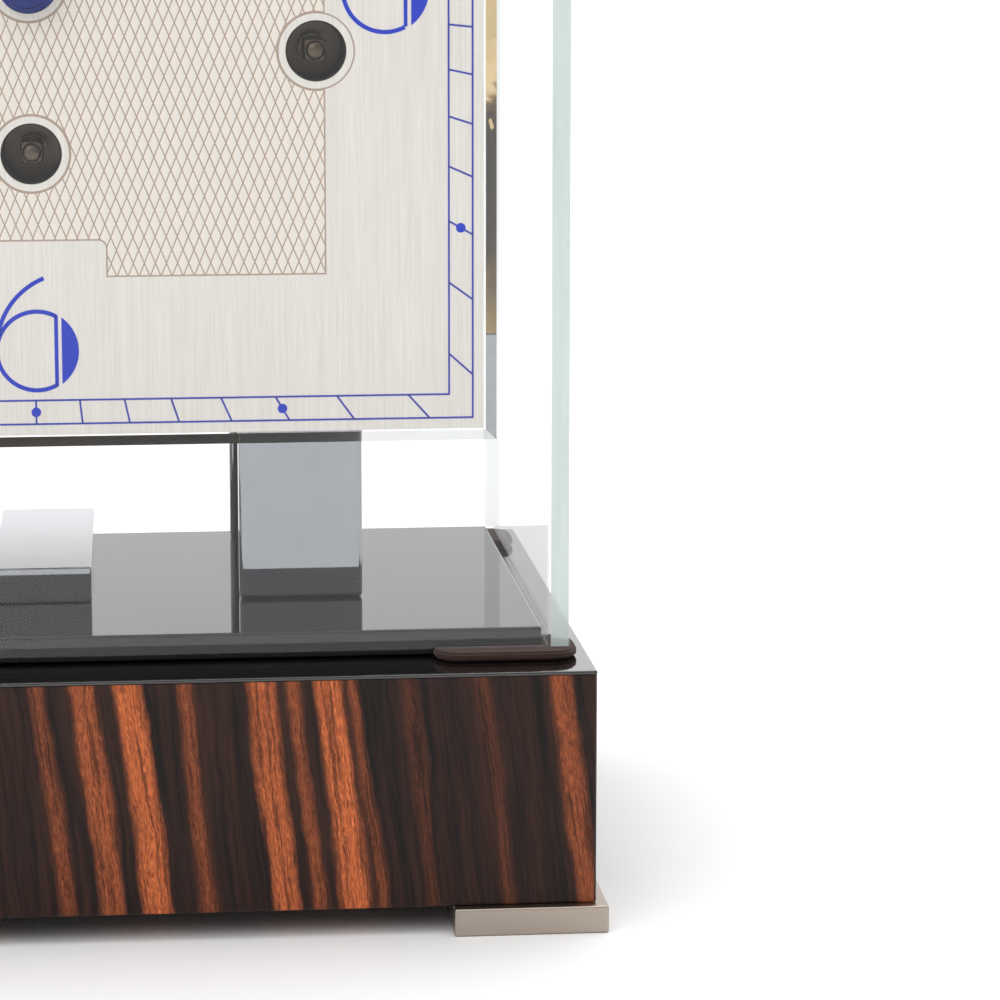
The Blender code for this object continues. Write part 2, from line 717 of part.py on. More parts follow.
def make_dial():
    holes = [ring_of(radius, (x, z), 24) for _, radius, x, z in dial_places(False)]
    dial = flat(
        "dial_plate",
        silvered,
        [rectangle(DIAL_SIDE, DIAL_SIDE), *holes],
        DIAL_THICK,
        behind(DIAL_FACE + DIAL_THICK / 2, DIAL_MIDDLE),
        FACING_FRONT,
    )
    foot_start = DIAL_FACE + DIAL_THICK / 2
    foot_end = PLATE_FRONT - GAP
    for corner, sx, sz in CORNERS:
        foot = rod(
            f"dial_foot_{corner}",
            None,
            DIAL_FOOT_RADIUS,
            foot_end - foot_start,
            (sx * DIAL_FOOT_X, (foot_end + foot_start) / 2, DIAL_MIDDLE + sz * DIAL_FOOT_Z),
            FACING_FRONT,
            16,
            cutters,
        )
        join(dial, foot)

    def build(work):
        bmesh.ops.create_cube(work, size=1)
        bmesh.ops.scale(
            work, vec=(DIAL_GLASS_SIDE, DIAL_GLASS_THICK, DIAL_GLASS_SIDE), verts=work.verts
        )
        front = [e for e in work.edges if all(v.co.y < 0 for v in e.verts)]
        bmesh.ops.bevel(work, geom=front, offset=DIAL_GLASS_BEVEL, segments=1, affect="EDGES")

    plate = place(
        "dial_glass",
        mesh_from(build, "dial_glass"),
        clear_glass,
        behind(DIAL_GLASS_FACE + DIAL_GLASS_THICK / 2, DIAL_MIDDLE),
    )
    for name, radius, x, z in dial_places(True):
        hole = rod(
            f"dial_glass_hole_{name}",
            None,
            radius,
            4 * DIAL_GLASS_THICK,
            (x, DIAL_GLASS_FACE, DIAL_MIDDLE + z),
            FACING_FRONT,
            24 if radius == DIAL_HOLE_RADIUS else 12,
            cutters,
        )
        carve(plate, hole)


CANNON_BORE = ARBOR_RADIUS + GAP
CANNON_OUTER = CANNON_BORE + PIPE_WALL
HOUR_BORE = CANNON_OUTER + GAP
HOUR_OUTER = HOUR_BORE + PIPE_WALL
MOTION_LEVEL = PLATE_FRONT - MOTION_CLEAR  # the back of the cannon pinion and the minute wheel
HOUR_WHEEL_BACK = MOTION_LEVEL - PINION_THICK - WHEEL_SPACING
HOUR_HAND_FACE = DIAL_FACE - HAND_ABOVE_DIAL
MINUTE_HAND_FACE = HOUR_HAND_FACE - HAND_SPACING


def hand_outline(length, boss, widest):
    """A tapering hand that points up: a round boss and a long blade."""
    blade_start = boss * cos(HAND_OPENING)
    blade = blade_start + HAND_SWELL * (length - blade_start)
    right = [
        (HAND_WAIST, blade_start + HAND_WAIST),
        (widest, blade),
        (HAND_POINT_HALF, length - HAND_POINT),
        (0.0, length),
    ]
    left = [(-x, y) for x, y in reversed(right[:-1])]
    turns = [pi / 2 + HAND_OPENING + (2 * pi - 2 * HAND_OPENING) * step / 22 for step in range(23)]
    return right + left + [(boss * cos(turn), boss * sin(turn)) for turn in turns]


def make_hands():
    minute_angle = 2 * pi * MINUTE_SHOWN / 60
    hour_angle = 2 * pi * (HOUR_SHOWN + MINUTE_SHOWN / 60) / 12
    hands = (
        ("hour_hand", HOUR_HAND, HOUR_HAND_HALF, HOUR_OUTER, HOUR_HAND_FACE, hour_angle),
        (
            "minute_hand",
            MINUTE_HAND,
            MINUTE_HAND_HALF,
            CANNON_OUTER,
            MINUTE_HAND_FACE,
            minute_angle,
        ),
    )
    for name, length, widest, pipe, face, angle in hands:
        boss = HAND_BOSS if name == "minute_hand" else HAND_BOSS + HAND_BOSS_STEP
        hand = flat(
            name,
            blued,
            [hand_outline(length, boss, widest), ring_of(pipe + GAP / 2)],
            HAND_THICK,
            behind(face + HAND_THICK / 2, DIAL_MIDDLE),
            FACING_FRONT,
        )
        hand.matrix_world = hand.matrix_world @ Matrix.Rotation(-angle, 4, "Z")
    nut_back = MINUTE_HAND_FACE - GAP
    turned(
        "hand_nut",
        steel,
        [
            (0, NUT_HEIGHT),
            (0.48 * NUT_RADIUS, 0.91 * NUT_HEIGHT),
            (0.88 * NUT_RADIUS, 0.64 * NUT_HEIGHT),
            (NUT_RADIUS, 0.27 * NUT_HEIGHT),
            (NUT_RADIUS, 0),
            (0, 0),
        ],
        behind(nut_back, DIAL_MIDDLE),
        FACING_FRONT,
        20,
    )


def make_motion_work():
    module = 2 * MOTION_CENTRES / (CANNON_TEETH + MINUTE_TEETH)
    hour_module = 2 * MOTION_CENTRES / (MINUTE_PINION_TEETH + HOUR_TEETH)
    cannon = turned(
        "cannon_pinion",
        steel,
        tube_profile(
            CANNON_OUTER, CANNON_BORE, -MOTION_LEVEL, -(MINUTE_HAND_FACE + GAP / 2)
        ),
        (0, 0, DIAL_MIDDLE),
        FACING_FRONT,
        20,
        closed=True,
    )
    join(
        cannon,
        flat(
            "cannon_teeth",
            None,
            [gear_outline(CANNON_TEETH, module), ring_of(CANNON_BORE + PIPE_WALL / 2, sides=20)],
            PINION_THICK,
            behind(MOTION_LEVEL - PINION_THICK / 2, DIAL_MIDDLE),
            FACING_FRONT,
            cutters,
        ),
    )
    minute = flat(
        "minute_wheel",
        brass,
        [gear_outline(MINUTE_TEETH, module, pi + pi / MINUTE_TEETH), ring_of(MINUTE_STUD_BORE, sides=16)],
        WHEEL_THICK,
        behind(MOTION_LEVEL - WHEEL_THICK / 2, DIAL_MIDDLE, MOTION_CENTRES),
        FACING_FRONT,
    )
    join(
        minute,
        flat(
            "minute_pinion",
            None,
            [gear_outline(MINUTE_PINION_TEETH, hour_module, pi), ring_of(MINUTE_STUD_BORE, sides=16)],
            MINUTE_PINION_LENGTH,
            behind(MOTION_LEVEL - MINUTE_PINION_LENGTH / 2, DIAL_MIDDLE, MOTION_CENTRES),
            FACING_FRONT,
            cutters,
        ),
    )
    hour = turned(
        "hour_wheel",
        brass,
        tube_profile(HOUR_OUTER, HOUR_BORE, -HOUR_WHEEL_BACK, -(HOUR_HAND_FACE + GAP / 2)),
        (0, 0, DIAL_MIDDLE),
        FACING_FRONT,
        20,
        closed=True,
    )
    join(
        hour,
        flat(
            "hour_teeth",
            None,
            [
                gear_outline(HOUR_TEETH, hour_module, pi / HOUR_TEETH),
                ring_of(HOUR_BORE + PIPE_WALL / 2, sides=20),
            ],
            WHEEL_THICK,
            behind(HOUR_WHEEL_BACK - WHEEL_THICK / 2, DIAL_MIDDLE),
            FACING_FRONT,
            cutters,
        ),
    )


BARREL_FRONT = PLATE_FRONT_INNER + BARREL_CLEAR
GREAT_FRONT = BARREL_FRONT + DRUM_LENGTH
GREAT_MODULE = 2 * WIND_MIDDLE_DROP / (GREAT_TEETH + CENTRE_PINION_TEETH)


def make_barrels():
    bore = WIND_ARBOR_RADIUS + GAP
    for train, (x, z) in WINDING.items():
        module = GREAT_MODULE if train == "going" else SIDE_GREAT_MODULE
        drum = turned(
            f"{train}_barrel",
            brass,
            tube_profile(DRUM_RADIUS, bore, -GREAT_FRONT - GREAT_THICK / 2, -BARREL_FRONT),
            (x, 0, z),
            FACING_FRONT,
            28,
            closed=True,
        )
        join(
            drum,
            flat(
                f"{train}_great_wheel",
                None,
                [
                    gear_outline(GREAT_TEETH, module, pi / 2 + pi / GREAT_TEETH),
                    ring_of((DRUM_RADIUS + bore) / 2),
                ],
                GREAT_THICK,
                behind(GREAT_FRONT + GREAT_THICK / 2, z, x),
                FACING_FRONT,
                cutters,
            ),
        )


def make_winding_arbors():
    tip = DIAL_FACE + WIND_TIP_SUNK
    square_back = DIAL_GLASS_BACK + WIND_SQUARE_BEHIND
    back = PLATE_BACK + WIND_ARBOR_PROUD
    ratchet_middle = PLATE_FRONT - RATCHET_CLEAR - RATCHET_THICK / 2
    for train, (x, z) in WINDING.items():
        arbor = rod(
            f"{train}_winding_arbor",
            steel,
            WIND_ARBOR_RADIUS,
            back - square_back,
            (x, (back + square_back) / 2, z),
            FACING_FRONT,
        )
        length = square_back - tip + JOINT_OVERLAP
        square = block(
            f"{train}_square",
            None,
            (WIND_SQUARE, length, WIND_SQUARE),
            (x, tip + length / 2, z),
            WIND_SQUARE_EDGE,
            cutters,
        )
        join(arbor, square)
        join(
            arbor,
            flat(
                f"{train}_ratchet",
                None,
                [ratchet_outline(RATCHET_TEETH, RATCHET_MODULE), ring_of(WIND_ARBOR_RADIUS / 2)],
                RATCHET_THICK,
                behind(ratchet_middle, z, x),
                FACING_FRONT,
                cutters,
            ),
        )


def make_centre_wheel():
    front = MINUTE_HAND_FACE + GAP
    back = PLATE_BACK + CENTRE_ARBOR_PROUD
    arbor = rod(
        "centre_wheel",
        brass,
        ARBOR_RADIUS,
        back - front,
        behind((front + back) / 2, DIAL_MIDDLE),
        FACING_FRONT,
        16,
    )
    turns = [2 * pi * window / CENTRE_WINDOWS for window in range(CENTRE_WINDOWS)]
    windows = [
        ring_of(CENTRE_WINDOW_RADIUS, (CENTRE_WINDOW_OUT * cos(turn), CENTRE_WINDOW_OUT * sin(turn)), 14)
        for turn in turns
    ]
    join(
        arbor,
        flat(
            "centre_teeth",
            None,
            [gear_outline(CENTRE_TEETH, CENTRE_MODULE), ring_of(ARBOR_RADIUS / 2, sides=12), *windows],
            WHEEL_THICK,
            behind(GREAT_FRONT + GREAT_THICK + CENTRE_SPACING, DIAL_MIDDLE),
            FACING_FRONT,
            cutters,
        ),
    )
    join(
        arbor,
        flat(
            "centre_pinion",
            None,
            [
                gear_outline(CENTRE_PINION_TEETH, GREAT_MODULE, -pi / 2),
                ring_of(ARBOR_RADIUS / 2, sides=12),
            ],
            GREAT_THICK + CENTRE_PINION_EXTRA,
            behind(GREAT_FRONT + GREAT_THICK / 2, DIAL_MIDDLE),
            FACING_FRONT,
            cutters,
        ),
    )


def make_escapement():
    middle_y = (PLATE_FRONT + PLATE_BACK) / 2
    bottom = PLATE_TOP + GAP
    platform = block(
        "escapement_platform",
        brass,
        (PLATFORM_SIDE, PLATES_APART, PLATFORM_THICK),
        (PLATFORM_X, middle_y, bottom + PLATFORM_THICK / 2),
    )
    edge = PLATFORM_X + PLATFORM_SIDE / 2
    deck = bottom + PLATFORM_THICK / 2
    cock_foot = block(
        "cock_foot",
        None,
        (COCK_FOOT, COCK_FOOT_DEEP, COCK_HEIGHT),
        (edge - COCK_FOOT / 2, middle_y, deck + COCK_HEIGHT / 2),
        into=cutters,
    )
    cock_length = PLATFORM_SIDE / 2 + COCK_BEYOND
    cock_top = deck + COCK_HEIGHT
    cock_arm = block(
        "cock_arm",
        None,
        (cock_length, COCK_WIDTH, COCK_THICK),
        (edge - cock_length / 2, middle_y, cock_top),
        into=cutters,
    )
    join(platform, cock_foot)
    join(platform, cock_arm)
    staff_bottom = bottom + PLATFORM_THICK + GAP
    staff_top = cock_top - COCK_THICK / 2 - GAP
    rim_level = (staff_bottom + staff_top) / 2
    balance = flat(
        "balance_wheel",
        brass,
        [ring_of(BALANCE_RADIUS, sides=24), half_window(1), half_window(-1)],
        BALANCE_THICK,
        (PLATFORM_X, middle_y, rim_level),
    )
    join(
        balance,
        rod(
            "balance_staff",
            None,
            BALANCE_STAFF_RADIUS,
            staff_top - staff_bottom,
            (PLATFORM_X, middle_y, rim_level),
            sides=12,
            into=cutters,
        ),
    )


def half_window(side):
    """A half-round window on one side of the balance's arm."""
    inner = BALANCE_RADIUS - BALANCE_RIM
    turns = [side * (pi * step / 12 - pi / 2) + (0 if side > 0 else pi) for step in range(13)]
    return [(side * BALANCE_ARM + inner * cos(turn), inner * sin(turn)) for turn in turns]


HAMMER_AXIS_Y = PLATE_BACK + HAMMER_BACK
HAMMER_AXIS_Z = PLATE_TOP - HAMMER_DROP
BELL_AXIS_Y = PLATE_BACK - BELL_AHEAD


def bell_profile(radius):
    """Half of a cup bell with an open mouth, as (radius, height), outer side first."""
    depth = BELL_HOLLOW * radius
    bore = ROD_RADIUS + GAP
    steps = 5
    outer = []
    for step in range(steps + 1):
        angle = pi / 2 * step / steps
        outer.append((bore + (radius - bore) * sin(angle), depth * cos(angle)))
    inner = []
    for step in range(steps + 1):
        angle = pi / 2 * (1 - step / steps)
        inner.append((bore + (radius - BELL_WALL - bore) * sin(angle), (depth - BELL_WALL) * cos(angle)))
    return outer + inner


def make_chime():
    span = CHIME_FRAME_SPAN
    frame_front = PLATE_BACK + GAP
    cheek_end = HAMMER_AXIS_Y + CHIME_CHEEK_BEYOND
    outline = [
        (-span / 2, frame_front),
        (span / 2, frame_front),
        (span / 2, cheek_end),
        (span / 2 - CHIME_SHEET, cheek_end),
        (span / 2 - CHIME_SHEET, frame_front + CHIME_SHEET),
        (-span / 2 + CHIME_SHEET, frame_front + CHIME_SHEET),
        (-span / 2 + CHIME_SHEET, cheek_end),
        (-span / 2, cheek_end),
    ]
    frame_top = PLATE_TOP - CHIME_FRAME_TOP
    frame_bottom = PLATE_TOP - CHIME_DRUM_DROP - CHIME_DRUM_RADIUS - CHIME_FRAME_BELOW
    flat(
        "chime_frame",
        steel,
        [outline],
        frame_top - frame_bottom,
        (BELL_MIDDLE_X, 0, (frame_top + frame_bottom) / 2),
    )
    along = (0, pi / 2, 0)
    inside = span - 2 * CHIME_SHEET - 2 * GAP
    rod(
        "hammer_arbor",
        steel,
        HAMMER_ARBOR_RADIUS,
        inside,
        (BELL_MIDDLE_X, HAMMER_AXIS_Y, HAMMER_AXIS_Z),
        along,
        16,
    )
    half = inside / 2
    neck = CHIME_DRUM_NECK
    profile = [(0, half), (neck, half), (neck, half - CHIME_DRUM_END)]
    for bell in reversed(range(BELL_COUNT)):
        cam = bell_x(bell) - BELL_MIDDLE_X
        profile += [
            (CHIME_DRUM_CORE, cam + CHIME_CAM_HALF + CHIME_CAM_SLOPE),
            (CHIME_DRUM_RADIUS, cam + CHIME_CAM_HALF),
            (CHIME_DRUM_RADIUS, cam - CHIME_CAM_HALF),
            (CHIME_DRUM_CORE, cam - CHIME_CAM_HALF - CHIME_CAM_SLOPE),
        ]
    profile += [(neck, -half + CHIME_DRUM_END), (neck, -half), (0, -half)]
    turned(
        "chime_drum",
        brass,
        profile,
        (BELL_MIDDLE_X, HAMMER_AXIS_Y, PLATE_TOP - CHIME_DRUM_DROP),
        along,
        14,
    )
    for bell in range(BELL_COUNT):
        make_bell(bell)
        make_hammer(bell)
    make_bell_rod()


BELL_MIDDLE_X = BELL_FIRST_X + BELL_PITCH * (BELL_COUNT - 1) / 2


def bell_x(bell):
    return BELL_FIRST_X + BELL_PITCH * bell


def bell_radius(bell):
    return BELL_RADIUS - BELL_STEP * bell


def make_bell(bell):
    """The mouth faces -X, and the rim is in line with its hammer."""
    turned(
        f"bell_{bell + 1}",
        bell_metal,
        bell_profile(bell_radius(bell)),
        (bell_x(bell) - BELL_MOUTH, BELL_AXIS_Y, BELL_AXIS_Z),
        (0, pi / 2, 0),
        closed=True,
    )


def make_hammer(bell):
    x = bell_x(bell)
    head_front = BELL_AXIS_Y + bell_radius(bell) + HAMMER_CLEAR
    head_back = HAMMER_AXIS_Y + HAMMER_HEAD_BACK
    bore = HAMMER_ARBOR_RADIUS + GAP
    length = head_back - head_front
    hammer = turned(
        f"hammer_{bell + 1}",
        steel,
        tube_profile(bore + HAMMER_BOSS_WALL, bore, -HAMMER_BOSS_HALF, HAMMER_BOSS_HALF),
        (x, HAMMER_AXIS_Y, HAMMER_AXIS_Z),
        (0, pi / 2, 0),
        16,
        closed=True,
    )
    arm_bottom = HAMMER_AXIS_Z + bore + HAMMER_ROOT
    arm_top = BELL_AXIS_Z
    arm = block(
        f"hammer_arm_{bell + 1}",
        None,
        (HAMMER_ARM, HAMMER_ARM, arm_top - arm_bottom),
        (x, HAMMER_AXIS_Y, (arm_top + arm_bottom) / 2),
        into=cutters,
    )
    head = rod(
        f"hammer_head_{bell + 1}",
        None,
        HAMMER_HEAD_RADIUS,
        length,
        (x, (head_front + head_back) / 2, BELL_AXIS_Z),
        FACING_FRONT,
        16,
        cutters,
    )
    tail_top = HAMMER_AXIS_Z - bore - HAMMER_ROOT
    tail_bottom = PLATE_TOP - CHIME_DRUM_DROP + CHIME_DRUM_RADIUS + CHIME_DRUM_CLEAR
    tail = block(
        f"hammer_tail_{bell + 1}",
        None,
        (HAMMER_ARM, HAMMER_TAIL, tail_top - tail_bottom),
        (x, HAMMER_AXIS_Y, (tail_top + tail_bottom) / 2),
        into=cutters,
    )
    join(hammer, arm)
    join(hammer, head)
    join(hammer, tail)


def make_bell_rod():
    """A rod that rises from the rear plate, turns forward and carries the bells along X."""
    left = -(POST_OFFSET + PILLAR_END_RADIUS + ROD_PILLAR_GAP + ROD_RADIUS)
    right = bell_x(BELL_COUNT - 1) + ROD_RIGHT
    back = PLATE_BACK + GAP + ROD_RADIUS
    corner = ROD_BEND
    steps = 4
    points = [(left, back, PLATE_TOP - ROD_DROP)]
    for step in range(steps + 1):
        angle = pi / 2 * step / steps
        points.append(
            (left, back - corner + corner * cos(angle), BELL_AXIS_Z - corner + corner * sin(angle))
        )
    for step in range(steps + 1):
        angle = pi / 2 * step / steps
        points.append(
            (left + corner - corner * cos(angle), BELL_AXIS_Y + corner - corner * sin(angle), BELL_AXIS_Z)
        )
    points.append((right, BELL_AXIS_Y, BELL_AXIS_Z))
    curve = bpy.data.curves.new("bell_rod", "CURVE")
    curve.dimensions = "3D"
    curve.bevel_depth = ROD_RADIUS
    curve.bevel_resolution = 2
    curve.use_fill_caps = True
    spline = curve.splines.new("POLY")
    spline.points.add(len(points) - 1)
    for point, place_at in zip(spline.points, points):
        point.co = (*place_at, 1)
    place("bell_rod", curve, steel)


make_feet()
make_base()
make_slab()
make_cover()
make_pads()
make_stand()
make_frame()
make_dial()
make_hands()
make_motion_work()
make_barrels()
make_winding_arbors()
make_centre_wheel()
make_escapement()
make_chime()
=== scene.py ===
"""The looks of a square-dial mantel clock: veneer, glass, chrome, engraved dial, brass movement."""

import json
from math import atan2, cos, pi, radians, sin

import bmesh
import bpy
from mathutils import Euler, Matrix, Vector


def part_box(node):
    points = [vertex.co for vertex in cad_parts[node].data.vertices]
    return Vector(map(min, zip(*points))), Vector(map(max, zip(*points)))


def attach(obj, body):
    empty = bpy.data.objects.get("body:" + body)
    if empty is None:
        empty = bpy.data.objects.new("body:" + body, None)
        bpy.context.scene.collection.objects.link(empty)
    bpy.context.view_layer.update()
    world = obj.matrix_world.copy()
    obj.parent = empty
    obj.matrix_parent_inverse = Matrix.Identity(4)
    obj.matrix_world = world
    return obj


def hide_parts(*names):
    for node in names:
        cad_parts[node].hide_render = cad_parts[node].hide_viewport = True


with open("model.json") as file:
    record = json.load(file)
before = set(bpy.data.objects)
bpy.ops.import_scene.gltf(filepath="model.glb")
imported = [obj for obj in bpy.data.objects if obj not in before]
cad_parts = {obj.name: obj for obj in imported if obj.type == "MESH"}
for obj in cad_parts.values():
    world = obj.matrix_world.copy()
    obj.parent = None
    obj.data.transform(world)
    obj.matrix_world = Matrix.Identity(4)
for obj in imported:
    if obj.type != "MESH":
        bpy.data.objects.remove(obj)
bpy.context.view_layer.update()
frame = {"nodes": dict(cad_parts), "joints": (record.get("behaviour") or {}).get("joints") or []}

MM = 0.001
scene = bpy.context.scene
NODES = frame["nodes"]
JOINTS = {joint["name"]: joint for joint in frame["joints"]}

# ---------------------------------------------------------------- places read from the frame

DIAL_LOW, DIAL_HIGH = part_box("dial_plate")
DIAL_X = (DIAL_LOW.x + DIAL_HIGH.x) / 2
DIAL_Z = (DIAL_LOW.z + DIAL_HIGH.z) / 2
DIAL_FACE = DIAL_LOW.y
DIAL_THICK = 1.5 * MM
DIAL_HALF = (DIAL_HIGH.x - DIAL_LOW.x) / 2
CASE_LOW, CASE_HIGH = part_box("base_top")
BASE_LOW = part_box("base_front")[0]
PLATE_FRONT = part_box("front_plate")[0].y
WINDING = {train: JOINTS[f"{train}_winding"]["pos_m"] for train in ("strike", "going", "chime")}

HOLE_RADIUS = 6.0 * MM
RING_RADIUS = 7.5 * MM
DIAL_FOOT_X = 60 * MM
DIAL_FOOT_Z = 50 * MM
DIAL_FOOT_RADIUS = 2 * MM
PANEL_HALF = 57.2 * MM
NOTCH_HALF = 14.2 * MM
NOTCH_HEIGHT = 7.2 * MM
NOTCH_CORNER = 1.6 * MM
TRACK_INNER = 81.4 * MM
TRACK_OUTER = 86.1 * MM
PRINT_THICK = 0.05 * MM
SAME_POINT = 0.001 * MM

# ---------------------------------------------------------------- camera

camera_data = bpy.data.cameras.new("camera")
camera_data.lens = 122.45
camera_data.sensor_width = 36
camera_data.shift_x = 0.1
camera_data.shift_y = -0.1
camera_data.clip_start = 0.05
camera_data.clip_end = 20
camera = bpy.data.objects.new("camera", camera_data)
camera.location = (19.17 * MM, -703.8 * MM, 202.3 * MM)
camera.rotation_euler = Euler((pi / 2 - 0.1529, 0.0037, -0.0795), "XYZ")
scene.collection.objects.link(camera)
scene.camera = camera
scene.view_settings.view_transform = "Standard"


# ---------------------------------------------------------------- materials as written sums


class Wire:
    """A value that runs through a material. Sums on it add Math nodes."""

    def __init__(self, tree, socket):
        self.tree = tree
        self.socket = socket

    def math(self, operation, *others):
        node = self.tree.nodes.new("ShaderNodeMath")
        node.operation = operation
        for place, value in enumerate((self, *others)):
            if isinstance(value, Wire):
                self.tree.links.new(value.socket, node.inputs[place])
            else:
                node.inputs[place].default_value = value
        return Wire(self.tree, node.outputs[0])

    def __add__(self, other):
        return self.math("ADD", other)

    __radd__ = __add__

    def __sub__(self, other):
        return self.math("SUBTRACT", other)

    def __rsub__(self, other):
        return (self * -1.0) + other

    def __mul__(self, other):
        return self.math("MULTIPLY", other)

    __rmul__ = __mul__

    def __truediv__(self, other):
        return self.math("DIVIDE", other)

    def __pow__(self, other):
        return self.math("POWER", other)

    def __abs__(self):
        return self.math("ABSOLUTE")

    def fraction(self):
        return self.math("FRACT")

    def sine(self):
        return self.math("SINE")

    def least(self, other):
        return self.math("MINIMUM", other)

    def most(self, other):
        return self.math("MAXIMUM", other)

    def root(self):
        return self.math("SQRT")

    def above(self, level, soft):
        """0 below the level and 1 above it, over a soft edge."""
        node = self.tree.nodes.new("ShaderNodeMapRange")
        node.interpolation_type = "SMOOTHSTEP"
        self.tree.links.new(self.socket, node.inputs["Value"])
        node.inputs["From Min"].default_value = level - soft / 2
        node.inputs["From Max"].default_value = level + soft / 2
        return Wire(self.tree, node.outputs["Result"])

    def below(self, level, soft):
        return 1.0 - self.above(level, soft)


class Finish:
    """A material built on one Principled shader."""

    def __init__(self, name, **settings):
        self.material = bpy.data.materials.new(name)
        self.material.use_nodes = True
        self.tree = self.material.node_tree
        self.shader = self.tree.nodes["Principled BSDF"]
        for label, value in settings.items():
            self.shader.inputs[label.replace("_", " ")].default_value = value

    def node(self, kind, settings=None, **inputs):
        made = self.tree.nodes.new(kind)
        for name, value in (settings or {}).items():
            setattr(made, name, value)
        for name, value in inputs.items():
            socket = made.inputs[name.replace("_", " ")]
            if isinstance(value, Wire):
                self.tree.links.new(value.socket, socket)
            else:
                socket.default_value = value
        return made

    def place(self):
        """Where the surface is, in millimetres of the clock's own frame, as x, y and z."""
        source = self.node("ShaderNodeTexCoord")
        split = self.node("ShaderNodeSeparateXYZ", Vector=Wire(self.tree, source.outputs["Object"]))
        return [Wire(self.tree, split.outputs[axis]) * (1 / MM) for axis in "XYZ"]

    def facing(self):
        source = self.node("ShaderNodeNewGeometry")
        split = self.node("ShaderNodeSeparateXYZ", Vector=Wire(self.tree, source.outputs["Normal"]))
        return [Wire(self.tree, split.outputs[axis]) for axis in "XYZ"]

    def vector(self, x, y, z=0.0):
        made = self.node("ShaderNodeCombineXYZ")
        for axis, value in zip("XYZ", (x, y, z)):
            if isinstance(value, Wire):
                self.tree.links.new(value.socket, made.inputs[axis])
            else:
                made.inputs[axis].default_value = value
        return Wire(self.tree, made.outputs[0])

    def noise(self, at, scale=1.0, detail=3.0, roughness=0.5, distortion=0.0):
        made = self.node(
            "ShaderNodeTexNoise",
            Vector=at,
            Scale=scale,
            Detail=detail,
            Roughness=roughness,
            Distortion=distortion,
        )
        return Wire(self.tree, made.outputs[0])

    def mix(self, factor, first, second):
        """A colour between two, each a colour or a wire."""
        made = self.tree.nodes.new("ShaderNodeMix")
        made.data_type = "RGBA"
        ends = ((made.inputs[0], factor), (made.inputs[6], first), (made.inputs[7], second))
        for socket, value in ends:
            if isinstance(value, Wire):
                self.tree.links.new(value.socket, socket)
            elif isinstance(value, (int, float)):
                socket.default_value = value
            else:
                socket.default_value = (*value, 1)
        return Wire(self.tree, made.outputs[2])

    def drive(self, label, wire):
        self.tree.links.new(wire.socket, self.shader.inputs[label])
        return self

    def bump(self, height, strength, depth):
        made = self.node("ShaderNodeBump", Strength=strength, Distance=depth, Height=height)
        self.tree.links.new(made.outputs[0], self.shader.inputs["Normal"])
        return self


def straight(value):
    """A channel of a display colour as light."""
    return value / 12.92 if value <= 0.04045 else ((value + 0.055) / 1.055) ** 2.4


def colour(red, green, blue):
    """A display colour, 0 to 255, as light."""
    return tuple(straight(channel / 255) for channel in (red, green, blue))


def macassar_veneer():
    made = Finish("macassar_veneer", Specular_IOR_Level=0.1, Coat_Weight=0.2, Coat_Roughness=0.02)
    x, y, z = made.place()
    facing_x, _, _ = made.facing()
    on_side = abs(facing_x).above(0.5, 0.1)
    along = x + (y + 300.0 - x) * on_side
    lean = along + (z - 28.0) * 0.115 + made.noise(made.vector(along * 0.5, z * 0.12), 1.0, 2.0) * 1.6
    wander = made.noise(made.vector(lean * 0.05, z * 0.012), 1.0, 2.0)
    grain = lean + (wander - 0.5) * 6.0
    # Orange bands of the figure: where each lies across the front, its half width and its strength.
    figure = (
        (-92, 3.5, 0.7),
        (-71, 2.4, 0.9),
        (-60, 4.0, 0.5),
        (-38, 3.0, 1.0),
        (-30, 1.6, 0.8),
        (-12, 2.2, 0.6),
        (3, 1.4, 0.35),
        (11.5, 2.2, 0.6),
        (20.5, 2.6, 1.0),
        (31, 1.3, 0.4),
        (45, 2.4, 0.85),
        (51.5, 1.2, 0.5),
        (58.5, 2.5, 1.1),
        (63.5, 0.9, 0.4),
        (74, 1.0, 0.14),
        (88, 1.2, 0.14),
        (104, 2.2, 0.5),
    )
    bands = made.noise(made.vector(grain * 0.16, z * 0.004, 3.0), 1.0, 2.0).above(0.66, 0.1) * on_side * 0.8
    for middle, half, strength in figure:
        bands = bands + abs(grain - middle).below(half, 2.2) * strength * (1.0 - on_side)
    streak = made.noise(made.vector(grain * 1.3, z * 0.035), 1.0, 5.0, 0.62)
    fine = made.noise(made.vector(grain * 5.0, z * 0.10), 1.0, 4.0, 0.6)
    fleck = made.noise(made.vector(grain * 4.5, z * 0.55, y * 0.5), 1.0, 4.0, 0.7)
    wide = made.noise(made.vector(grain * 0.8, z * 0.02, 11.0), 1.0, 3.0)
    warm = (bands.least(1.0) * (0.25 + streak * 0.75 + wide * 0.5)).most(0.0)
    split = streak.below(0.44, 0.14)
    warm = warm * (1.0 - split * 0.6)
    brown = made.noise(made.vector(grain * 0.35, z * 0.01, 7.0), 1.0, 3.0).above(0.5, 0.3) * 0.5
    base = made.mix(streak.above(0.52, 0.24), colour(12, 8, 8), colour(42, 25, 21))
    base = made.mix(brown * fine, base, colour(84, 46, 31))
    orange = made.mix(fleck.above(0.5, 0.4), colour(132, 58, 34), colour(240, 130, 72))
    base = made.mix(warm.least(1.0), base, orange)
    pore = fine.below(0.38, 0.08)
    base = made.mix(pore * 0.75, base, colour(26, 16, 14))
    made.drive("Base Color", base)
    made.drive("Roughness", 0.30 + fine * 0.15)
    return made.bump(fine, 0.04, 0.05 * MM).material


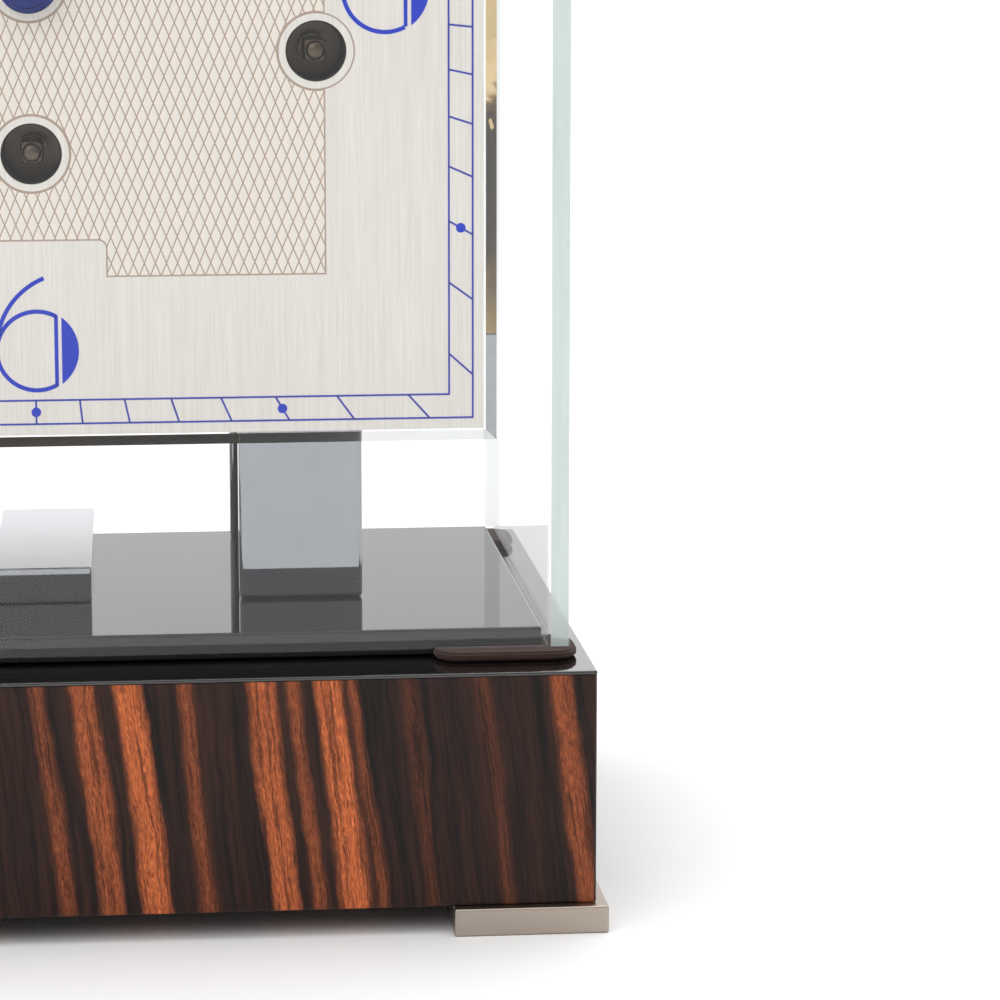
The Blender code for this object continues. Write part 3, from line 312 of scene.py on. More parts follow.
def black_lacquer():
    made = Finish("black_lacquer", Roughness=0.07, Coat_Weight=1.0, Coat_Roughness=0.02, IOR=1.5)
    x, y, z = made.place()
    ripple = made.noise(made.vector(x, y, z), 0.05, 2.0)
    made.drive("Base Color", made.mix(ripple, colour(16, 14, 14), colour(26, 22, 22)))
    made.drive("Roughness", 0.05 + ripple * 0.05)
    return made.bump(ripple, 0.03, 0.5 * MM).material


def black_glass():
    made = Finish("black_glass", Roughness=0.02, IOR=1.5, Coat_Weight=0.15, Coat_Roughness=0.01)
    x, y, z = made.place()
    haze = made.noise(made.vector(x, y, z), 0.03, 2.0)
    made.drive("Base Color", made.mix(haze, colour(14, 13, 14), colour(24, 22, 23)))
    made.drive("Roughness", 0.015 + haze * 0.03)
    return made.material


def brushed(name, tone, across, roughness, metallic=1.0, depth=0.35, grain=9.0):
    """A brushed metal whose lines run across the named axis of change."""
    made = Finish(name, Metallic=metallic)
    x, y, z = made.place()
    stretch = {"x": (grain, 0.06, 0.06), "y": (0.06, grain, 0.06), "z": (0.06, 0.06, grain)}[across]
    lines = made.noise(made.vector(x * stretch[0], y * stretch[1], z * stretch[2]), 1.0, 4.0, 0.6)
    cloud = made.noise(made.vector(x, y, z), 0.08, 2.0)
    dark = tuple(channel * 0.86 for channel in tone)
    made.drive("Base Color", made.mix(lines * 0.7 + cloud * 0.3, dark, tone))
    made.drive("Roughness", roughness * 0.8 + lines * roughness * 0.4)
    return made.bump(lines, depth * 0.2, 0.02 * MM).material


def polished(name, tone, roughness, marks=0.06):
    """A polished metal with the faint cloud and hairlines that handling leaves."""
    made = Finish(name, Metallic=1.0)
    x, y, z = made.place()
    cloud = made.noise(made.vector(x, y, z), 0.12, 3.0)
    hair = made.noise(made.vector(x * 0.7, y * 2.3, z * 5.0), 1.0, 3.0).above(0.66, 0.1)
    dark = tuple(channel * 0.90 for channel in tone)
    made.drive("Base Color", made.mix(cloud, dark, tone))
    made.drive("Roughness", roughness + cloud * roughness * 0.6 + hair * marks)
    return made.material


def felt():
    made = Finish("brown_felt", Roughness=1.0, Sheen_Weight=0.12, Sheen_Roughness=0.6, Specular_IOR_Level=0.1)
    x, y, z = made.place()
    fibre = made.noise(made.vector(x, y, z), 2.6, 4.0, 0.7)
    cloud = made.noise(made.vector(x, y, z), 0.4, 3.0)
    made.drive("Base Color", made.mix(fibre * 0.6 + cloud * 0.4, colour(38, 27, 24), colour(86, 66, 60)))
    return made.bump(fibre, 0.8, 0.15 * MM).material


def clear_sheet():
    """Sheet glass a few millimetres thick, seen through."""
    made = Finish("cover_glass", Roughness=0.0)
    made.shader.inputs["Base Color"].default_value = (1, 1, 1, 1)
    tree = made.tree
    out = tree.nodes["Material Output"]
    clear = made.node("ShaderNodeBsdfTransparent", Color=(0.998, 1.0, 0.9985, 1))
    gloss = made.node("ShaderNodeBsdfGlossy", Color=(1, 1, 1, 1), Roughness=0.0)
    edge_on = Wire(tree, made.node("ShaderNodeFresnel", IOR=1.45).outputs[0])
    behind = Wire(tree, made.node("ShaderNodeNewGeometry").outputs["Backfacing"])
    shine = (edge_on * 1.1).least(0.96) * (1.0 - behind)
    join = made.node("ShaderNodeMixShader")
    tree.links.new(shine.socket, join.inputs[0])
    tree.links.new(clear.outputs[0], join.inputs[1])
    tree.links.new(gloss.outputs[0], join.inputs[2])
    tree.links.new(join.outputs[0], out.inputs[0])
    return made.material


def glass_edge():
    """The polished edge of a pane, where the glass looks pale green."""
    made = Finish("pane_edge", IOR=1.3, Transmission_Weight=0.3, Coat_Weight=0.2)
    x, y, z = made.place()
    depth = made.noise(made.vector(x * 0.5, y * 0.5, z * 0.03), 1.0, 2.0)
    made.drive("Base Color", made.mix(depth, colour(180, 196, 191), colour(208, 220, 216)))
    made.drive("Roughness", 0.10 + depth * 0.12)
    return made.material


def bevelled_glass():
    made = Finish("bevelled_glass", IOR=1.5, Transmission_Weight=1.0)
    x, y, z = made.place()
    haze = made.noise(made.vector(x, y, z), 0.1, 2.0)
    made.drive("Base Color", made.mix(haze, colour(240, 242, 242), colour(250, 250, 250)))
    made.drive("Roughness", 0.01 + haze * 0.02)
    return made.material


def silvered_dial():
    made = Finish("silvered_dial", Metallic=0.12, Specular_IOR_Level=0.5)
    x, _, z = made.place()
    across = x - DIAL_X / MM
    up = z - DIAL_Z / MM
    brush = made.noise(made.vector(across * 2.4, up * 0.05), 1.0, 4.0, 0.7)
    wide = made.noise(made.vector(across * 0.5, up * 0.02), 1.0, 2.0)

    panel = PANEL_HALF / MM
    inside = panel - abs(across).most(abs(up))
    corner = NOTCH_CORNER / MM
    notch_x = (abs(across) - (NOTCH_HALF / MM - corner)).most(0.0)
    notch_y = ((up + panel) - (NOTCH_HEIGHT / MM - corner)).most(0.0)
    outside_notch = (notch_x * notch_x + notch_y * notch_y).root() - corner
    field = inside.least(outside_notch)
    ring = None
    for hole_x, _, hole_z in [*WINDING.values(), (DIAL_X, 0, DIAL_Z)]:
        off_x = across - (hole_x - DIAL_X) / MM
        off_z = up - (hole_z - DIAL_Z) / MM
        away = (off_x * off_x + off_z * off_z).root() - RING_RADIUS / MM
        ring = away if ring is None else ring.least(away)
    field = field.least(ring)
    engraved = field.above(0.0, 0.05)

    wide_step = 2.16
    high_step = 5.2
    rising = across / wide_step + up / high_step
    falling = across / wide_step - up / high_step
    near_rising = abs(rising.fraction() - 0.5)
    near_falling = abs(falling.fraction() - 0.5)
    line = near_rising.least(near_falling).below(0.062, 0.05)
    # Each diamond grades from one tone to another across its width, as its engraved facets would catch the
    # light: painted facet shade.
    facet_shade = (rising + 0.5).fraction() * 0.5 + (falling + 0.5).fraction() * 0.5
    border = abs(field - 0.12).below(0.16, 0.14)
    ring_line = abs(ring + 0.05).below(0.16, 0.12)

    plain = made.mix(brush * 0.75 + wide * 0.25, colour(200, 193, 186), colour(250, 247, 242))
    shaded_diamond = made.mix(facet_shade, colour(240, 228, 215), colour(230, 226, 220))
    tone = made.mix(engraved, plain, shaded_diamond)
    cut = (line * engraved).most(border).most(ring_line)
    tone = made.mix(cut * 0.85, tone, colour(158, 132, 112))
    made.drive("Base Color", tone)
    made.drive("Roughness", 0.34 + brush * 0.14 + cut * 0.2)
    return made.bump(brush * 0.25 - cut, 0.35, 0.05 * MM).material


def enamel():
    made = Finish("blue_print", Roughness=0.5, Specular_IOR_Level=0.2)
    x, y, z = made.place()
    cloud = made.noise(made.vector(x, y, z), 0.7, 3.0)
    made.drive("Base Color", made.mix(cloud, colour(2, 44, 182), colour(10, 56, 200)))
    return made.material


def thin_enamel():
    made = Finish("blue_line", Roughness=0.4)
    x, y, z = made.place()
    cloud = made.noise(made.vector(x, y, z), 0.7, 3.0)
    made.drive("Base Color", made.mix(cloud, colour(18, 34, 160), colour(34, 50, 176)))
    return made.material


VENEER = macassar_veneer()
LACQUER = black_lacquer()
BLACK_GLASS = black_glass()
NICKEL = brushed("brushed_nickel", colour(184, 171, 160), "z", 0.34)
CHROME = polished("polished_chrome", colour(150, 152, 157), 0.02, 0.03)
# Satin silver for the top of the tie bar: partly a brushed finish, partly a painted reflection of the white
# light overhead.
SATIN_LIT_TOP = brushed("satin_silver", colour(228, 228, 233), "x", 0.42)
FELT = felt()
SHEET = clear_sheet()
EDGE = glass_edge()
BEVELLED = bevelled_glass()
SILVERED = silvered_dial()
BLUE = enamel()
BLUE_LINE = thin_enamel()
BLUED = polished("blued_steel", colour(34, 52, 128), 0.14)
BRASS = brushed("lacquered_brass", colour(222, 188, 118), "z", 0.24, depth=0.2)
# A dark copy of the brass, worn by the movement's front plate: painted shade on the plate behind the dial.
SHADED_BRASS = brushed("brass_painted_shade", colour(58, 50, 44), "z", 0.4)
STEEL = polished("polished_steel", colour(190, 192, 196), 0.12)
BELL = polished("bell_metal", colour(224, 198, 140), 0.10)
# Near-black matte steel for the hole sleeves: painted shade inside the winding holes and the middle hole.
HOLE_SHADE_BLACK = brushed("painted_hole_shade", colour(9, 9, 8), "z", 0.8, metallic=0.0)
# A darkened, warm-tinted copy of the steel for the winding arbors and their tips: painted shade inside the
# winding holes.
SHADED_ARBOR = polished("winding_steel_painted_shade", colour(96, 84, 72), 0.26)

# ---------------------------------------------------------------- making pieces


def keep(name, mesh, material, body, slot, *stands_for, smooth=40):
    piece = bpy.data.objects.new(name, mesh)
    scene.collection.objects.link(piece)
    for each in material if isinstance(material, list) else [material]:
        mesh.materials.append(each)
    if smooth:
        mesh.shade_smooth()
        mesh.set_sharp_from_angle(angle=radians(smooth))
        even = piece.modifiers.new("even", "WEIGHTED_NORMAL")
        even.keep_sharp = True
    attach(piece, body)
    if stands_for:
        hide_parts(*stands_for)
    return piece


def mesh_of(build, name):
    work = bmesh.new()
    build(work)
    bmesh.ops.recalc_face_normals(work, faces=work.faces)
    made = bpy.data.meshes.new(name)
    work.to_mesh(made)
    work.free()
    return made


def add_box(work, low, high, edge=0.0, steps=3):
    size = Vector(high) - Vector(low)
    middle = (Vector(high) + Vector(low)) / 2
    place = Matrix.Translation(middle) @ Matrix.Diagonal((*size, 1))
    made = bmesh.ops.create_cube(work, size=1, matrix=place)
    if edge:
        edges = {e for v in made["verts"] for e in v.link_edges}
        bmesh.ops.bevel(work, geom=list(edges), offset=edge, segments=steps, affect="EDGES", profile=0.5)


def add_prism(work, outline, near, far):
    """A flat shape drawn in X and Z, from depth near to depth far."""
    corners = [work.verts.new((x, near, z)) for x, z in outline]
    face = work.faces.new(corners)
    grown = bmesh.ops.extrude_face_region(work, geom=[face])
    moved = [g for g in grown["geom"] if isinstance(g, bmesh.types.BMVert)]
    bmesh.ops.translate(work, verts=moved, vec=(0, far - near, 0))


def add_turned(work, profile, at, steps=48):
    """A solid turned about Y: (radius, depth) points, closed at both ends on the axis."""
    turn = Matrix.Rotation(-pi / 2, 4, "X")
    chain = [work.verts.new((max(radius, 1e-7), 0, along)) for radius, along in profile]
    edges = [work.edges.new(pair) for pair in zip(chain, chain[1:])]
    made = bmesh.ops.spin(
        work,
        geom=chain + edges,
        cent=(0, 0, 0),
        axis=(0, 0, 1),
        dvec=(0, 0, 0),
        angle=2 * pi,
        steps=steps,
        use_duplicate=False,
    )
    last_ring = {item for item in made["geom_last"] if isinstance(item, bmesh.types.BMVert)}
    island = set()
    waiting = list(last_ring | set(chain))
    while waiting:
        vert = waiting.pop()
        if vert in island:
            continue
        island.add(vert)
        waiting += [e.other_vert(vert) for e in vert.link_edges if e.other_vert(vert) not in island]
    bmesh.ops.remove_doubles(work, verts=list(island), dist=SAME_POINT)
    island = {v for v in island if v.is_valid}
    bmesh.ops.transform(work, matrix=Matrix.Translation(at) @ turn, verts=list(island))


def add_ring(work, profile, middle, steps):
    """A closed turned ring about Y: (radius, depth) points around its section."""
    x, z = middle
    rings = []
    for radius, y in profile:
        around = circle(radius, steps=steps)
        rings.append([work.verts.new((x + px, y, z + pz)) for px, pz in around])
    for first, second in zip(rings, rings[1:] + rings[:1]):
        for i in range(steps):
            j = (i + 1) % steps
            work.faces.new((first[i], first[j], second[j], second[i]))


def circle(radius, middle=(0.0, 0.0), steps=64, start=0.0, end=2 * pi):
    whole = abs(end - start - 2 * pi) < 1e-6
    count = steps if whole else steps + 1
    return [
        (
            middle[0] + radius * cos(start + (end - start) * i / steps),
            middle[1] + radius * sin(start + (end - start) * i / steps),
        )
        for i in range(count)
    ]


def stroke(points, width, closed=False):
    """The outline, or two outlines, of a line of even width along points."""
    count = len(points)
    sides = ([], [])
    for i, (x, y) in enumerate(points):
        before = points[i - 1] if closed or i else points[0]
        after = points[(i + 1) % count] if closed or i < count - 1 else points[-1]
        along = Vector((after[0] - before[0], after[1] - before[1])).normalized()
        if 0 < i < count - 1 or closed:
            first = Vector((x - before[0], y - before[1])).normalized()
            second = Vector((after[0] - x, after[1] - y)).normalized()
            bend = max(0.5, (1 + first.dot(second)) / 2) ** 0.5
        else:
            bend = 1.0
        reach = width / 2 / bend
        for side, sign in zip(sides, (1, -1)):
            side.append((x - along.y * reach * sign, y + along.x * reach * sign))
    return sides


def add_stroke(work, points, width, near, far, closed=False):
    left, right = stroke(points, width, closed)
    count = len(points)
    for i in range(count if closed else count - 1):
        j = (i + 1) % count
        add_prism(work, [left[i], left[j], right[j], right[i]], near, far)


def on_dial(points):
    return [(x + DIAL_X, z + DIAL_Z) for x, z in points]


# ---------------------------------------------------------------- base

SHELL = 0.8 * MM
CASE_EDGE = 0.9 * MM
BOARD_INSET = 9.9 * MM
CORE_INSET = 10.4 * MM


def make_case():
    low = Vector((BASE_LOW.x - 0.1 * MM, BASE_LOW.y, BASE_LOW.z))
    half_x = CASE_HIGH.x
    half_y = CASE_HIGH.y
    top = CASE_HIGH.z - SHELL

    def rounded(inset, radius, steps):
        points = []
        for quarter, (sx, sy) in enumerate(((1, 1), (-1, 1), (-1, -1), (1, -1))):
            for step in range(steps + 1):
                angle = (quarter + step / steps) * pi / 2
                points.append(
                    (
                        sx * (half_x - inset - radius) + radius * cos(angle),
                        sy * (half_y - inset - radius) + radius * sin(angle),
                    )
                )
        return points

    def build(work):
        steps = 4
        rings = []
        for inset, radius, z in (
            (0.0, CASE_EDGE, top),
            (0.0, CASE_EDGE, low.z + 0.25 * MM),
            (0.25 * MM, CASE_EDGE - 0.25 * MM, low.z),
            (BOARD_INSET, 0.3 * MM, low.z),
            (BOARD_INSET, 0.3 * MM, top),
        ):
            rings.append([work.verts.new((x, y, z)) for x, y in rounded(inset, radius, steps)])
        for upper, lower in zip(rings, rings[1:] + rings[:1]):
            count = len(upper)
            for i in range(count):
                j = (i + 1) % count
                work.faces.new((upper[i], upper[j], lower[j], lower[i]))

    keep(
        "veneered_case",
        mesh_of(build, "veneered_case"),
        VENEER,
        "stand",
        "macassar_veneer",
        "base_front",
        "base_rear",
        "base_left",
        "base_right",
    )

    def build_top(work):
        add_box(
            work,
            (-half_x, -half_y, top),
            (half_x, half_y, CASE_HIGH.z),
            0.3 * MM,
        )
        core_low = (-half_x + CORE_INSET, -half_y + CORE_INSET, CASE_LOW.z)
        core_high = (half_x - CORE_INSET, half_y - CORE_INSET, top + 0.1 * MM)
        add_box(work, core_low, core_high)

    keep("lacquered_top", mesh_of(build_top, "lacquered_top"), LACQUER, "stand", "black_lacquer", "base_top")


def make_feet():
    for end in ("front", "rear"):
        for side in ("left", "right"):
            node = f"foot_{end}_{side}"
            low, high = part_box(node)

            def build(work, low=low, high=high):
                block_top = BASE_LOW.z - 0.05 * MM
                add_box(work, low, (high.x, high.y, block_top), 0.45 * MM, 3)

            keep(f"metal_foot_{end}_{side}", mesh_of(build, node), NICKEL, "stand", "brushed_nickel", node)


# ---------------------------------------------------------------- cover

PANE_CHAMFER = 0.35 * MM


def make_cover():
    ahead, back, left, right = (0, -1, 0), (0, 1, 0), (-1, 0, 0), (1, 0, 0)
    bare_edges = {
        "front": [],
        "rear": [],
        "left": [ahead, back],
        "right": [ahead, back],
        "top": [ahead, back, left, right],
    }
    for name, bare in bare_edges.items():
        node = f"glass_{name}"
        low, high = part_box(node)

        def build(work, low=low, high=high):
            add_box(work, low, high, PANE_CHAMFER, 1)

        mesh = mesh_of(build, node)
        pane = keep(f"pane_{name}", mesh, [SHEET, EDGE], "cover", "cover_glass", node, smooth=0)
        for face in pane.data.polygons:
            face.material_index = int(any(face.normal.dot(Vector(way)) > 0.95 for way in bare))


def make_pads():
    for end in ("front", "rear"):
        for side in ("left", "right"):
            node = f"felt_pad_{end}_{side}"
            source = NODES[node].data

            def build(work, source=source):
                work.from_mesh(source)
                bmesh.ops.remove_doubles(work, verts=work.verts, dist=1e-6)
                bmesh.ops.dissolve_limit(work, angle_limit=0.02, verts=work.verts, edges=work.edges)
                sharp = [e for e in work.edges if len(e.link_faces) == 2 and e.calc_face_angle(0) > 1.2]
                bmesh.ops.bevel(work, geom=sharp, offset=0.45 * MM, segments=3, affect="EDGES")

            keep(f"felt_{end}_{side}", mesh_of(build, node), FELT, "stand", "brown_felt", node, smooth=50)


# ---------------------------------------------------------------- stand


def make_posts():
    for end in ("front", "rear"):
        for side in ("left", "right"):
            node = f"post_{end}_{side}"
            low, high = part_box(node)
            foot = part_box("tie_bar")[0].z

            def build(work, low=low, high=high, foot=foot):
                add_box(work, (low.x, low.y, foot - 0.25 * MM), high, 0.9 * MM, 4)

            keep(f"chrome_{node}", mesh_of(build, node), CHROME, "stand", "polished_chrome", node)


def make_slab():
    low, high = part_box("stand_slab")

    def build(work):
        add_box(work, low, high, 0.5 * MM, 3)

    keep("gloss_slab", mesh_of(build, "gloss_slab"), BLACK_GLASS, "stand", "black_glass", "stand_slab")


def make_bar():
    low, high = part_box("tie_bar")

    def build(work):
        add_box(work, (low.x, low.y, low.z - 0.25 * MM), high, 0.35 * MM, 3)

    bar = keep("satin_bar", mesh_of(build, "satin_bar"), [CHROME, SATIN_LIT_TOP], "stand", "satin_silver", "tie_bar")
    # Faces that look up take the satin silver, partly a painted reflection of the light overhead; the rest
    # take chrome.
    for face in bar.data.polygons:
        face.material_index = int(face.normal.z > 0.8)


def make_nuts():
    """A turned nut with a dished face on each end of each pillar."""
    for level in ("lower", "upper"):
        for side in ("left", "right"):
            low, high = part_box(f"pillar_{level}_{side}")
            x = (low.x + high.x) / 2
            z = (low.z + high.z) / 2
            for end, tip, sign in (("front", low.y, 1), ("rear", high.y, -1)):
                seat = tip + sign * 4.3 * MM
                face = tip + sign * 0.8 * MM

                def build(work, x=x, z=z, seat=seat, face=face, sign=sign):
                    add_turned(
                        work,
                        [
                            (0, seat),
                            (4.4 * MM, seat),
                            (4.4 * MM, face + sign * 0.7 * MM),
                            (3.9 * MM, face),
                            (2.7 * MM, face),
                            (2.6 * MM, face + sign * 0.2 * MM),
                            (0, face + sign * 0.2 * MM),
                        ],
                        (x, 0, z),
                    )

                keep(
                    f"pillar_nut_{level}_{side}_{end}",
                    mesh_of(build, "nut"),
                    STEEL,
                    "stand",
                    "polished_steel",
                )


# ---------------------------------------------------------------- dial


def make_dial():
    curve = bpy.data.curves.new("dial", "CURVE")
    curve.dimensions = "2D"
    curve.fill_mode = "BOTH"
    curve.extrude = DIAL_THICK / 2
    half = DIAL_HALF
    outlines = [[(-half, -half), (half, -half), (half, half), (-half, half)]]
    for hole_x, _, hole_z in [*WINDING.values(), (DIAL_X, 0, DIAL_Z)]:
        outlines.append(circle(HOLE_RADIUS - 0.05 * MM, (hole_x - DIAL_X, hole_z - DIAL_Z), 96))
    for outline in outlines:
        spline = curve.splines.new("POLY")
        spline.points.add(len(outline) - 1)
        for point, (x, y) in zip(spline.points, outline):
            point.co = (x, y, 0, 1)
        spline.use_cyclic_u = True
    drawn = bpy.data.objects.new("dial_drawn", curve)
    scene.collection.objects.link(drawn)
    bpy.context.view_layer.update()
    flat = bpy.data.meshes.new_from_object(drawn.evaluated_get(bpy.context.evaluated_depsgraph_get()))
    bpy.data.objects.remove(drawn)
    foot_back = DIAL_HIGH.y

    def build(work):
        work.from_mesh(flat)
        bmesh.ops.remove_doubles(work, verts=work.verts, dist=1e-6)
        middle = Matrix.Translation((DIAL_X, DIAL_FACE + DIAL_THICK / 2, DIAL_Z))
        stand_up = middle @ Matrix.Rotation(pi / 2, 4, "X")
        bmesh.ops.transform(work, matrix=stand_up, verts=work.verts)
        dial_back = DIAL_FACE + DIAL_THICK
        radius = DIAL_FOOT_RADIUS
        dial_foot = [(0, dial_back), (radius, dial_back), (radius, foot_back), (0, foot_back)]
        for sx in (-1, 1):
            for sz in (-1, 1):
                at = (DIAL_X + sx * DIAL_FOOT_X, 0, DIAL_Z + sz * DIAL_FOOT_Z)
                add_turned(work, dial_foot, at, steps=24)

    mesh = mesh_of(build, "engraved_dial")
    keep("engraved_dial", mesh, SILVERED, "stand", "silvered_dial", "dial_plate", smooth=30)


def dial_print(name, material, build):
    """A thin printed or enamelled layer on the dial's face. build draws with near and far depths."""
    near = DIAL_FACE - PRINT_THICK
    far = DIAL_FACE + 0.005 * MM
    return keep(
        name, mesh_of(lambda work: build(work, near, far), name), material, "stand", "silvered_dial", smooth=0
    )


def square(half):
    return on_dial([(-half, -half), (half, -half), (half, half), (-half, half)])


def make_track():
    line = 0.38 * MM

    def build(work, near, far):
        for half in (TRACK_INNER, TRACK_OUTER):
            add_stroke(work, square(half), line, near, far, closed=True)
        for minute in range(60):
            angle = radians(6 * minute)
            across = sin(angle)
            up = cos(angle)
            reach = max(abs(across), abs(up))
            ends = [(across / reach * half, up / reach * half) for half in (TRACK_INNER, TRACK_OUTER)]
            add_stroke(work, on_dial(ends), line, near, far)

    dial_print("minute_track", BLUE_LINE, build)

    def build_dots(work, near, far):
        middle = (TRACK_INNER + TRACK_OUTER) / 2
        for hour in range(12):
            angle = radians(30 * hour)
            across = sin(angle)
            up = cos(angle)
            reach = max(abs(across), abs(up))
            at = (across / reach * middle, up / reach * middle)
            add_prism(work, on_dial(circle(0.95 * MM, at, 32)), near - 0.02 * MM, far)

    dial_print("five_minute_dots", BLUE, build_dots)


THICK_LINE = 0.84 * MM
POST_LINE = 0.74 * MM


def bowl(work, middle, radius, near, far, start=None, end=None):
    """A round letter's bowl: a thin ring cut by an upright, then a solid slice to its right."""
    upright = 4.0 * MM * radius / (8.6 * MM)
    slice_start = 5.1 * MM * radius / (8.6 * MM)
    ring_radius = radius - THICK_LINE / 2
    height = (ring_radius**2 - upright**2) ** 0.5
    meet = atan2(height, upright)
    whole = start is None and end is None
    first = meet if start is None else start
    last = 2 * pi - meet if end is None else end
    ring = circle(ring_radius, middle, 56, first, last)
    x, z = middle
    past = THICK_LINE * 0.3 if whole else 0.0
    add_stroke(work, ring, THICK_LINE, near, far)
    post = [(x + upright, z - height - past), (x + upright, z + height + past)]
    add_stroke(work, post, POST_LINE, near, far)
    half_angle = atan2((radius**2 - slice_start**2) ** 0.5, slice_start)
    add_prism(work, circle(radius, middle, 28, -half_angle, half_angle), near, far)


def make_numerals():
    far_out = 69.0 * MM

    def six(work, near, far):
        x, z = 0.36 * MM + DIAL_X, DIAL_Z - 71.6 * MM
        bowl(work, (x, z), 8.2 * MM, near, far)
        stem = circle(15.0 * MM, (x + 7.2 * MM, z + 0.4 * MM), 20, radians(112), radians(178))
        add_stroke(work, stem, THICK_LINE, near, far)

    def nine(work, near, far):
        x, z = DIAL_X - far_out, DIAL_Z + 2.2 * MM
        bowl(work, (x, z), 8.2 * MM, near, far)
        stem = circle(15.0 * MM, (x - 7.2 * MM, z - 0.4 * MM), 20, radians(-68), radians(-8))
        add_stroke(work, stem, THICK_LINE * 1.6, near, far)

    def three(work, near, far):
        x, z = DIAL_X + far_out, DIAL_Z - 1.76 * MM
        lower = 8.6 * MM
        bowl(work, (x, z), lower, near, far, start=radians(172), end=radians(298))
        upper = 5.0 * MM
        top = z + lower + upper * 0.72
        bowl(work, (x, top), upper, near, far, start=radians(70), end=radians(190))

    def twelve(work, near, far):
        x, z = DIAL_X, DIAL_Z + far_out
        half = 10.4 * MM
        one = x - 8.6 * MM
        add_stroke(
            work,
            [(one - 1.6 * MM, z - half), (one - 1.6 * MM, z + half), (one - 4.2 * MM, z + half - 2.6 * MM)],
            POST_LINE,
            near,
            far,
        )
        left, right = one - 0.4 * MM, one + 2.2 * MM
        solid_one = [(left, z - half), (right, z - half), (right, z + half), (left, z + half)]
        add_prism(work, solid_one, near, far)
        two = x + 4.2 * MM
        radius = 6.6 * MM
        bowl(work, (two, z + half - radius), radius, near, far, start=radians(64), end=radians(190))
        foot = z - half + 0.4 * MM
        tail = [(two + 3.4 * MM, z + half - 1.7 * radius), (two - 6.0 * MM, foot), (two + 6.4 * MM, foot)]
        add_stroke(work, tail, THICK_LINE, near, far)

    for name, build in (("six", six), ("nine", nine), ("three", three), ("twelve", twelve)):
        dial_print(f"numeral_{name}", BLUE, build)


SLEEVE_CLEARANCE = 5.2 * MM
WHEEL_CLEARANCE = 7.5 * MM


def make_hole_shade_sleeves():
    """Near-black sleeves line the winding holes, and the middle hole as far as the hour wheel: painted shade
    inside the holes.
    """
    for name, (x, _, z) in [*WINDING.items(), ("middle", (DIAL_X, 0, DIAL_Z))]:
        outer = HOLE_RADIUS - 0.06 * MM
        inner = outer - 0.3 * MM
        front = DIAL_FACE + 0.5 * MM
        back = PLATE_FRONT - (SLEEVE_CLEARANCE if name in WINDING else WHEEL_CLEARANCE)

        def build(work, x=x, z=z, outer=outer, inner=inner, front=front, back=back):
            add_ring(work, ((outer, front), (outer, back), (inner, back), (inner, front)), (x, z), 64)

        keep(f"hole_shade_sleeve_{name}", mesh_of(build, "hole_shade_mesh"), HOLE_SHADE_BLACK, "stand", "polished_steel")


def make_arbor_tips():
    for train, (x, _, z) in WINDING.items():
        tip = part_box(f"{train}_winding_arbor")[0].y

        def build(work, x=x, z=z, tip=tip):
            radius = 1.9 * MM
            profile = [(0, tip + 1.2 * MM)]
            for step in range(9):
                angle = pi / 2 * step / 8
                profile.append((radius * cos(angle), tip - 0.1 * MM - 1.0 * MM * sin(angle)))
            profile.insert(1, (radius, tip + 1.2 * MM))
            add_turned(work, profile, (x, 0, z))

        keep(f"{train}_arbor_tip", mesh_of(build, "tip"), SHADED_ARBOR, f"{train}_arbor", "polished_steel")


# ---------------------------------------------------------------- hands


def make_hand(name, body, length, widest, boss, bore, angle):
    low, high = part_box(name)
    back = high.y
    front = low.y
    crown = front - 0.25 * MM
    flank = front + 0.3 * MM
    turn = Matrix.Translation((DIAL_X, 0, DIAL_Z)) @ Matrix.Rotation(angle, 4, "Y")

    def build(work):
        waist = 0.9 * MM
        start = boss * 0.96
        reach = length - start
        stations = (
            (start, waist),
            (start + 0.12 * reach, waist * 1.05),
            (start + 0.30 * reach, widest),
            (length - 12 * MM, widest * 0.38),
            (length - 3 * MM, 0.5 * MM),
            (length, 0.06 * MM),
        )
        rows = []
        for z, half in stations:
            section = ((-half, back), (-half, flank), (0, crown), (half, flank), (half, back))
            rows.append([work.verts.new((x, y, z)) for x, y in section])
        for first, second in zip(rows, rows[1:]):
            for i in range(5):
                j = (i + 1) % 5
                work.faces.new((first[i], first[j], second[j], second[i]))
        work.faces.new(rows[0])
        work.faces.new(rows[-1][::-1])
        bmesh.ops.transform(work, matrix=turn, verts=work.verts)
        edge = 0.25 * MM
        profile = (
            (boss, back),
            (boss, front + edge),
            (boss - edge, front),
            (bore + edge, front),
            (bore, front + edge),
            (bore, back),
        )
        add_ring(work, profile, (DIAL_X, DIAL_Z), 56)

    keep(f"shaped_{name}", mesh_of(build, name), BLUED, body, "blued_steel", name, smooth=25)


def make_hands():
    minute = 2 * pi * 10 / 60
    hour = 2 * pi * (10 + 10 / 60) / 12
    make_hand("minute_hand", "minute_work", 75 * MM, 2.2 * MM, 4.8 * MM, 2.25 * MM, minute)
    make_hand("hour_hand", "hour_work", 52 * MM, 3.1 * MM, 5.8 * MM, 3.4 * MM, hour)


# ---------------------------------------------------------------- CAD nodes that stay


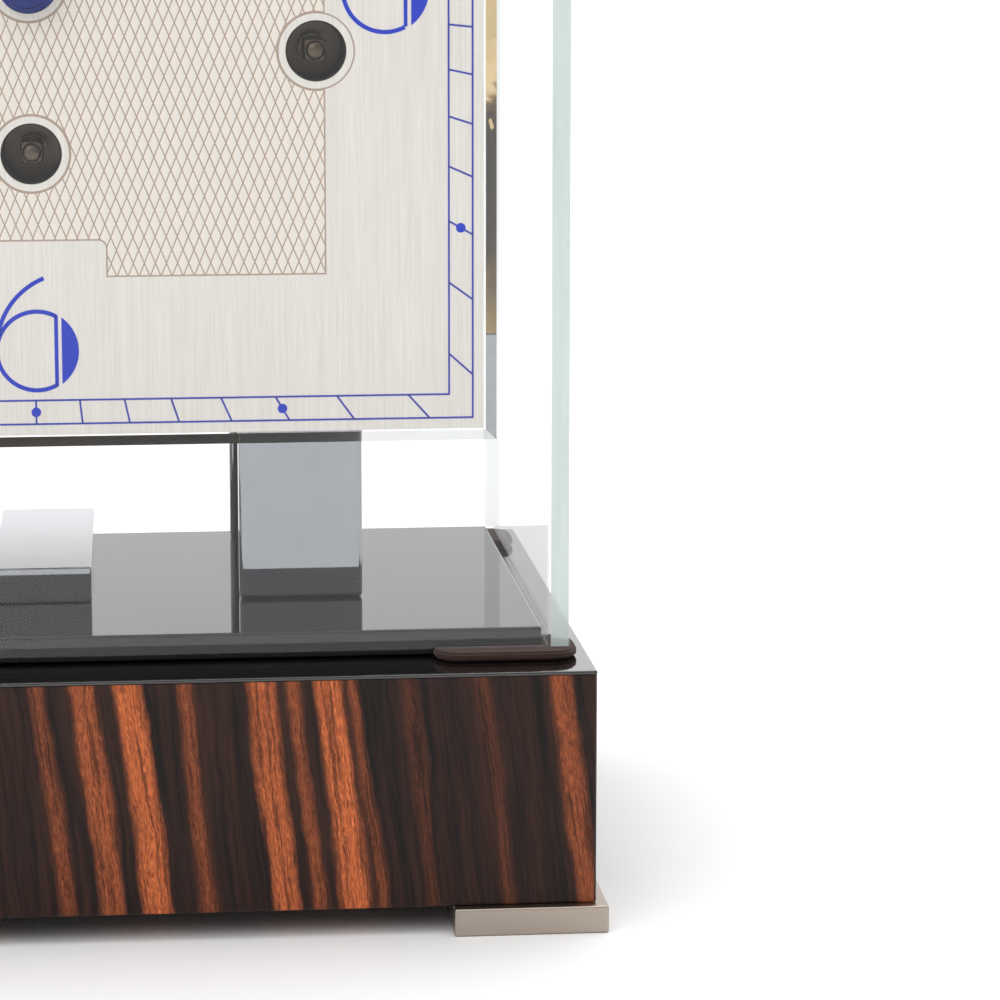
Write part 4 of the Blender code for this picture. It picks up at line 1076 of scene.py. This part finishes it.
def dress_nodes():
    wear = {
        "base_bottom": LACQUER,
        "dial_glass": BEVELLED,
        # The front plate takes the dark brass: painted shade behind the dial.
        "front_plate": SHADED_BRASS,
        "rear_plate": BRASS,
        "escapement_platform": BRASS,
        "balance_wheel": BRASS,
        "centre_wheel": BRASS,
        "minute_wheel": BRASS,
        "hour_wheel": BRASS,
        "chime_drum": BRASS,
        "strike_barrel": BRASS,
        "going_barrel": BRASS,
        "chime_barrel": BRASS,
        # The winding arbors take the darkened steel: painted shade inside the holes.
        **{f"{train}_winding_arbor": SHADED_ARBOR for train in WINDING},
    }
    for name, node in NODES.items():
        if name.startswith("pillar"):
            material = BRASS
        elif name.startswith("bell_") and name != "bell_rod":
            material = BELL
        else:
            material = wear.get(name, STEEL)
        if node.hide_render:
            continue
        node.data.materials.clear()
        node.data.materials.append(material)


# ---------------------------------------------------------------- floor and light


def make_stage():
    def build(work):
        bmesh.ops.create_grid(work, x_segments=1, y_segments=1, size=6)

    mesh = mesh_of(build, "floor")
    floor = bpy.data.objects.new("floor", mesh)
    scene.collection.objects.link(floor)
    pale = Finish("pale_floor", Roughness=0.8, Specular_IOR_Level=0.0)
    x, y, z = pale.place()
    cloud = pale.noise(pale.vector(x, y, z), 0.01, 2.0)
    pale.drive("Base Color", pale.mix(cloud, (0.90, 0.90, 0.90), (0.92, 0.92, 0.92)))
    mesh.materials.append(pale.material)

    world = bpy.data.worlds.new("studio")
    scene.world = world
    world.use_nodes = True
    tree = world.node_tree
    sky = tree.nodes["Background"]
    source = tree.nodes.new("ShaderNodeTexCoord")
    split = tree.nodes.new("ShaderNodeSeparateXYZ")
    tree.links.new(source.outputs["Generated"], split.inputs[0])
    along = Wire(tree, split.outputs["Y"])
    overhead = Wire(tree, split.outputs["Z"])
    bright = along.above(-0.05, 0.9) * 0.68 + 0.38 + overhead.above(0.6, 0.5) * 0.78
    tree.links.new(bright.socket, sky.inputs["Strength"])
    sky.inputs["Color"].default_value = (1, 1, 1, 1)

    def lamp(name, power, size, at, aim):
        data = bpy.data.lights.new(name, "AREA")
        data.energy = power
        data.shape = "RECTANGLE"
        data.size, data.size_y = size
        made = bpy.data.objects.new(name, data)
        made.location = at
        made.rotation_euler = (Vector(aim) - Vector(at)).to_track_quat("-Z", "Y").to_euler()
        scene.collection.objects.link(made)

    lamp("top_light", 2.5, (1.4, 1.2), (0.0, -0.1, 1.3), (0, 0, 0.1))
    lamp("front_light", 5, (0.9, 0.9), (-0.7, -1.2, 1.0), (0, 0, 0.15))


make_case()
make_feet()
make_cover()
make_pads()
make_posts()
make_slab()
make_bar()
make_nuts()
make_dial()
make_track()
make_numerals()
make_hole_shade_sleeves()
make_arbor_tips()
make_hands()
dress_nodes()
make_stage()
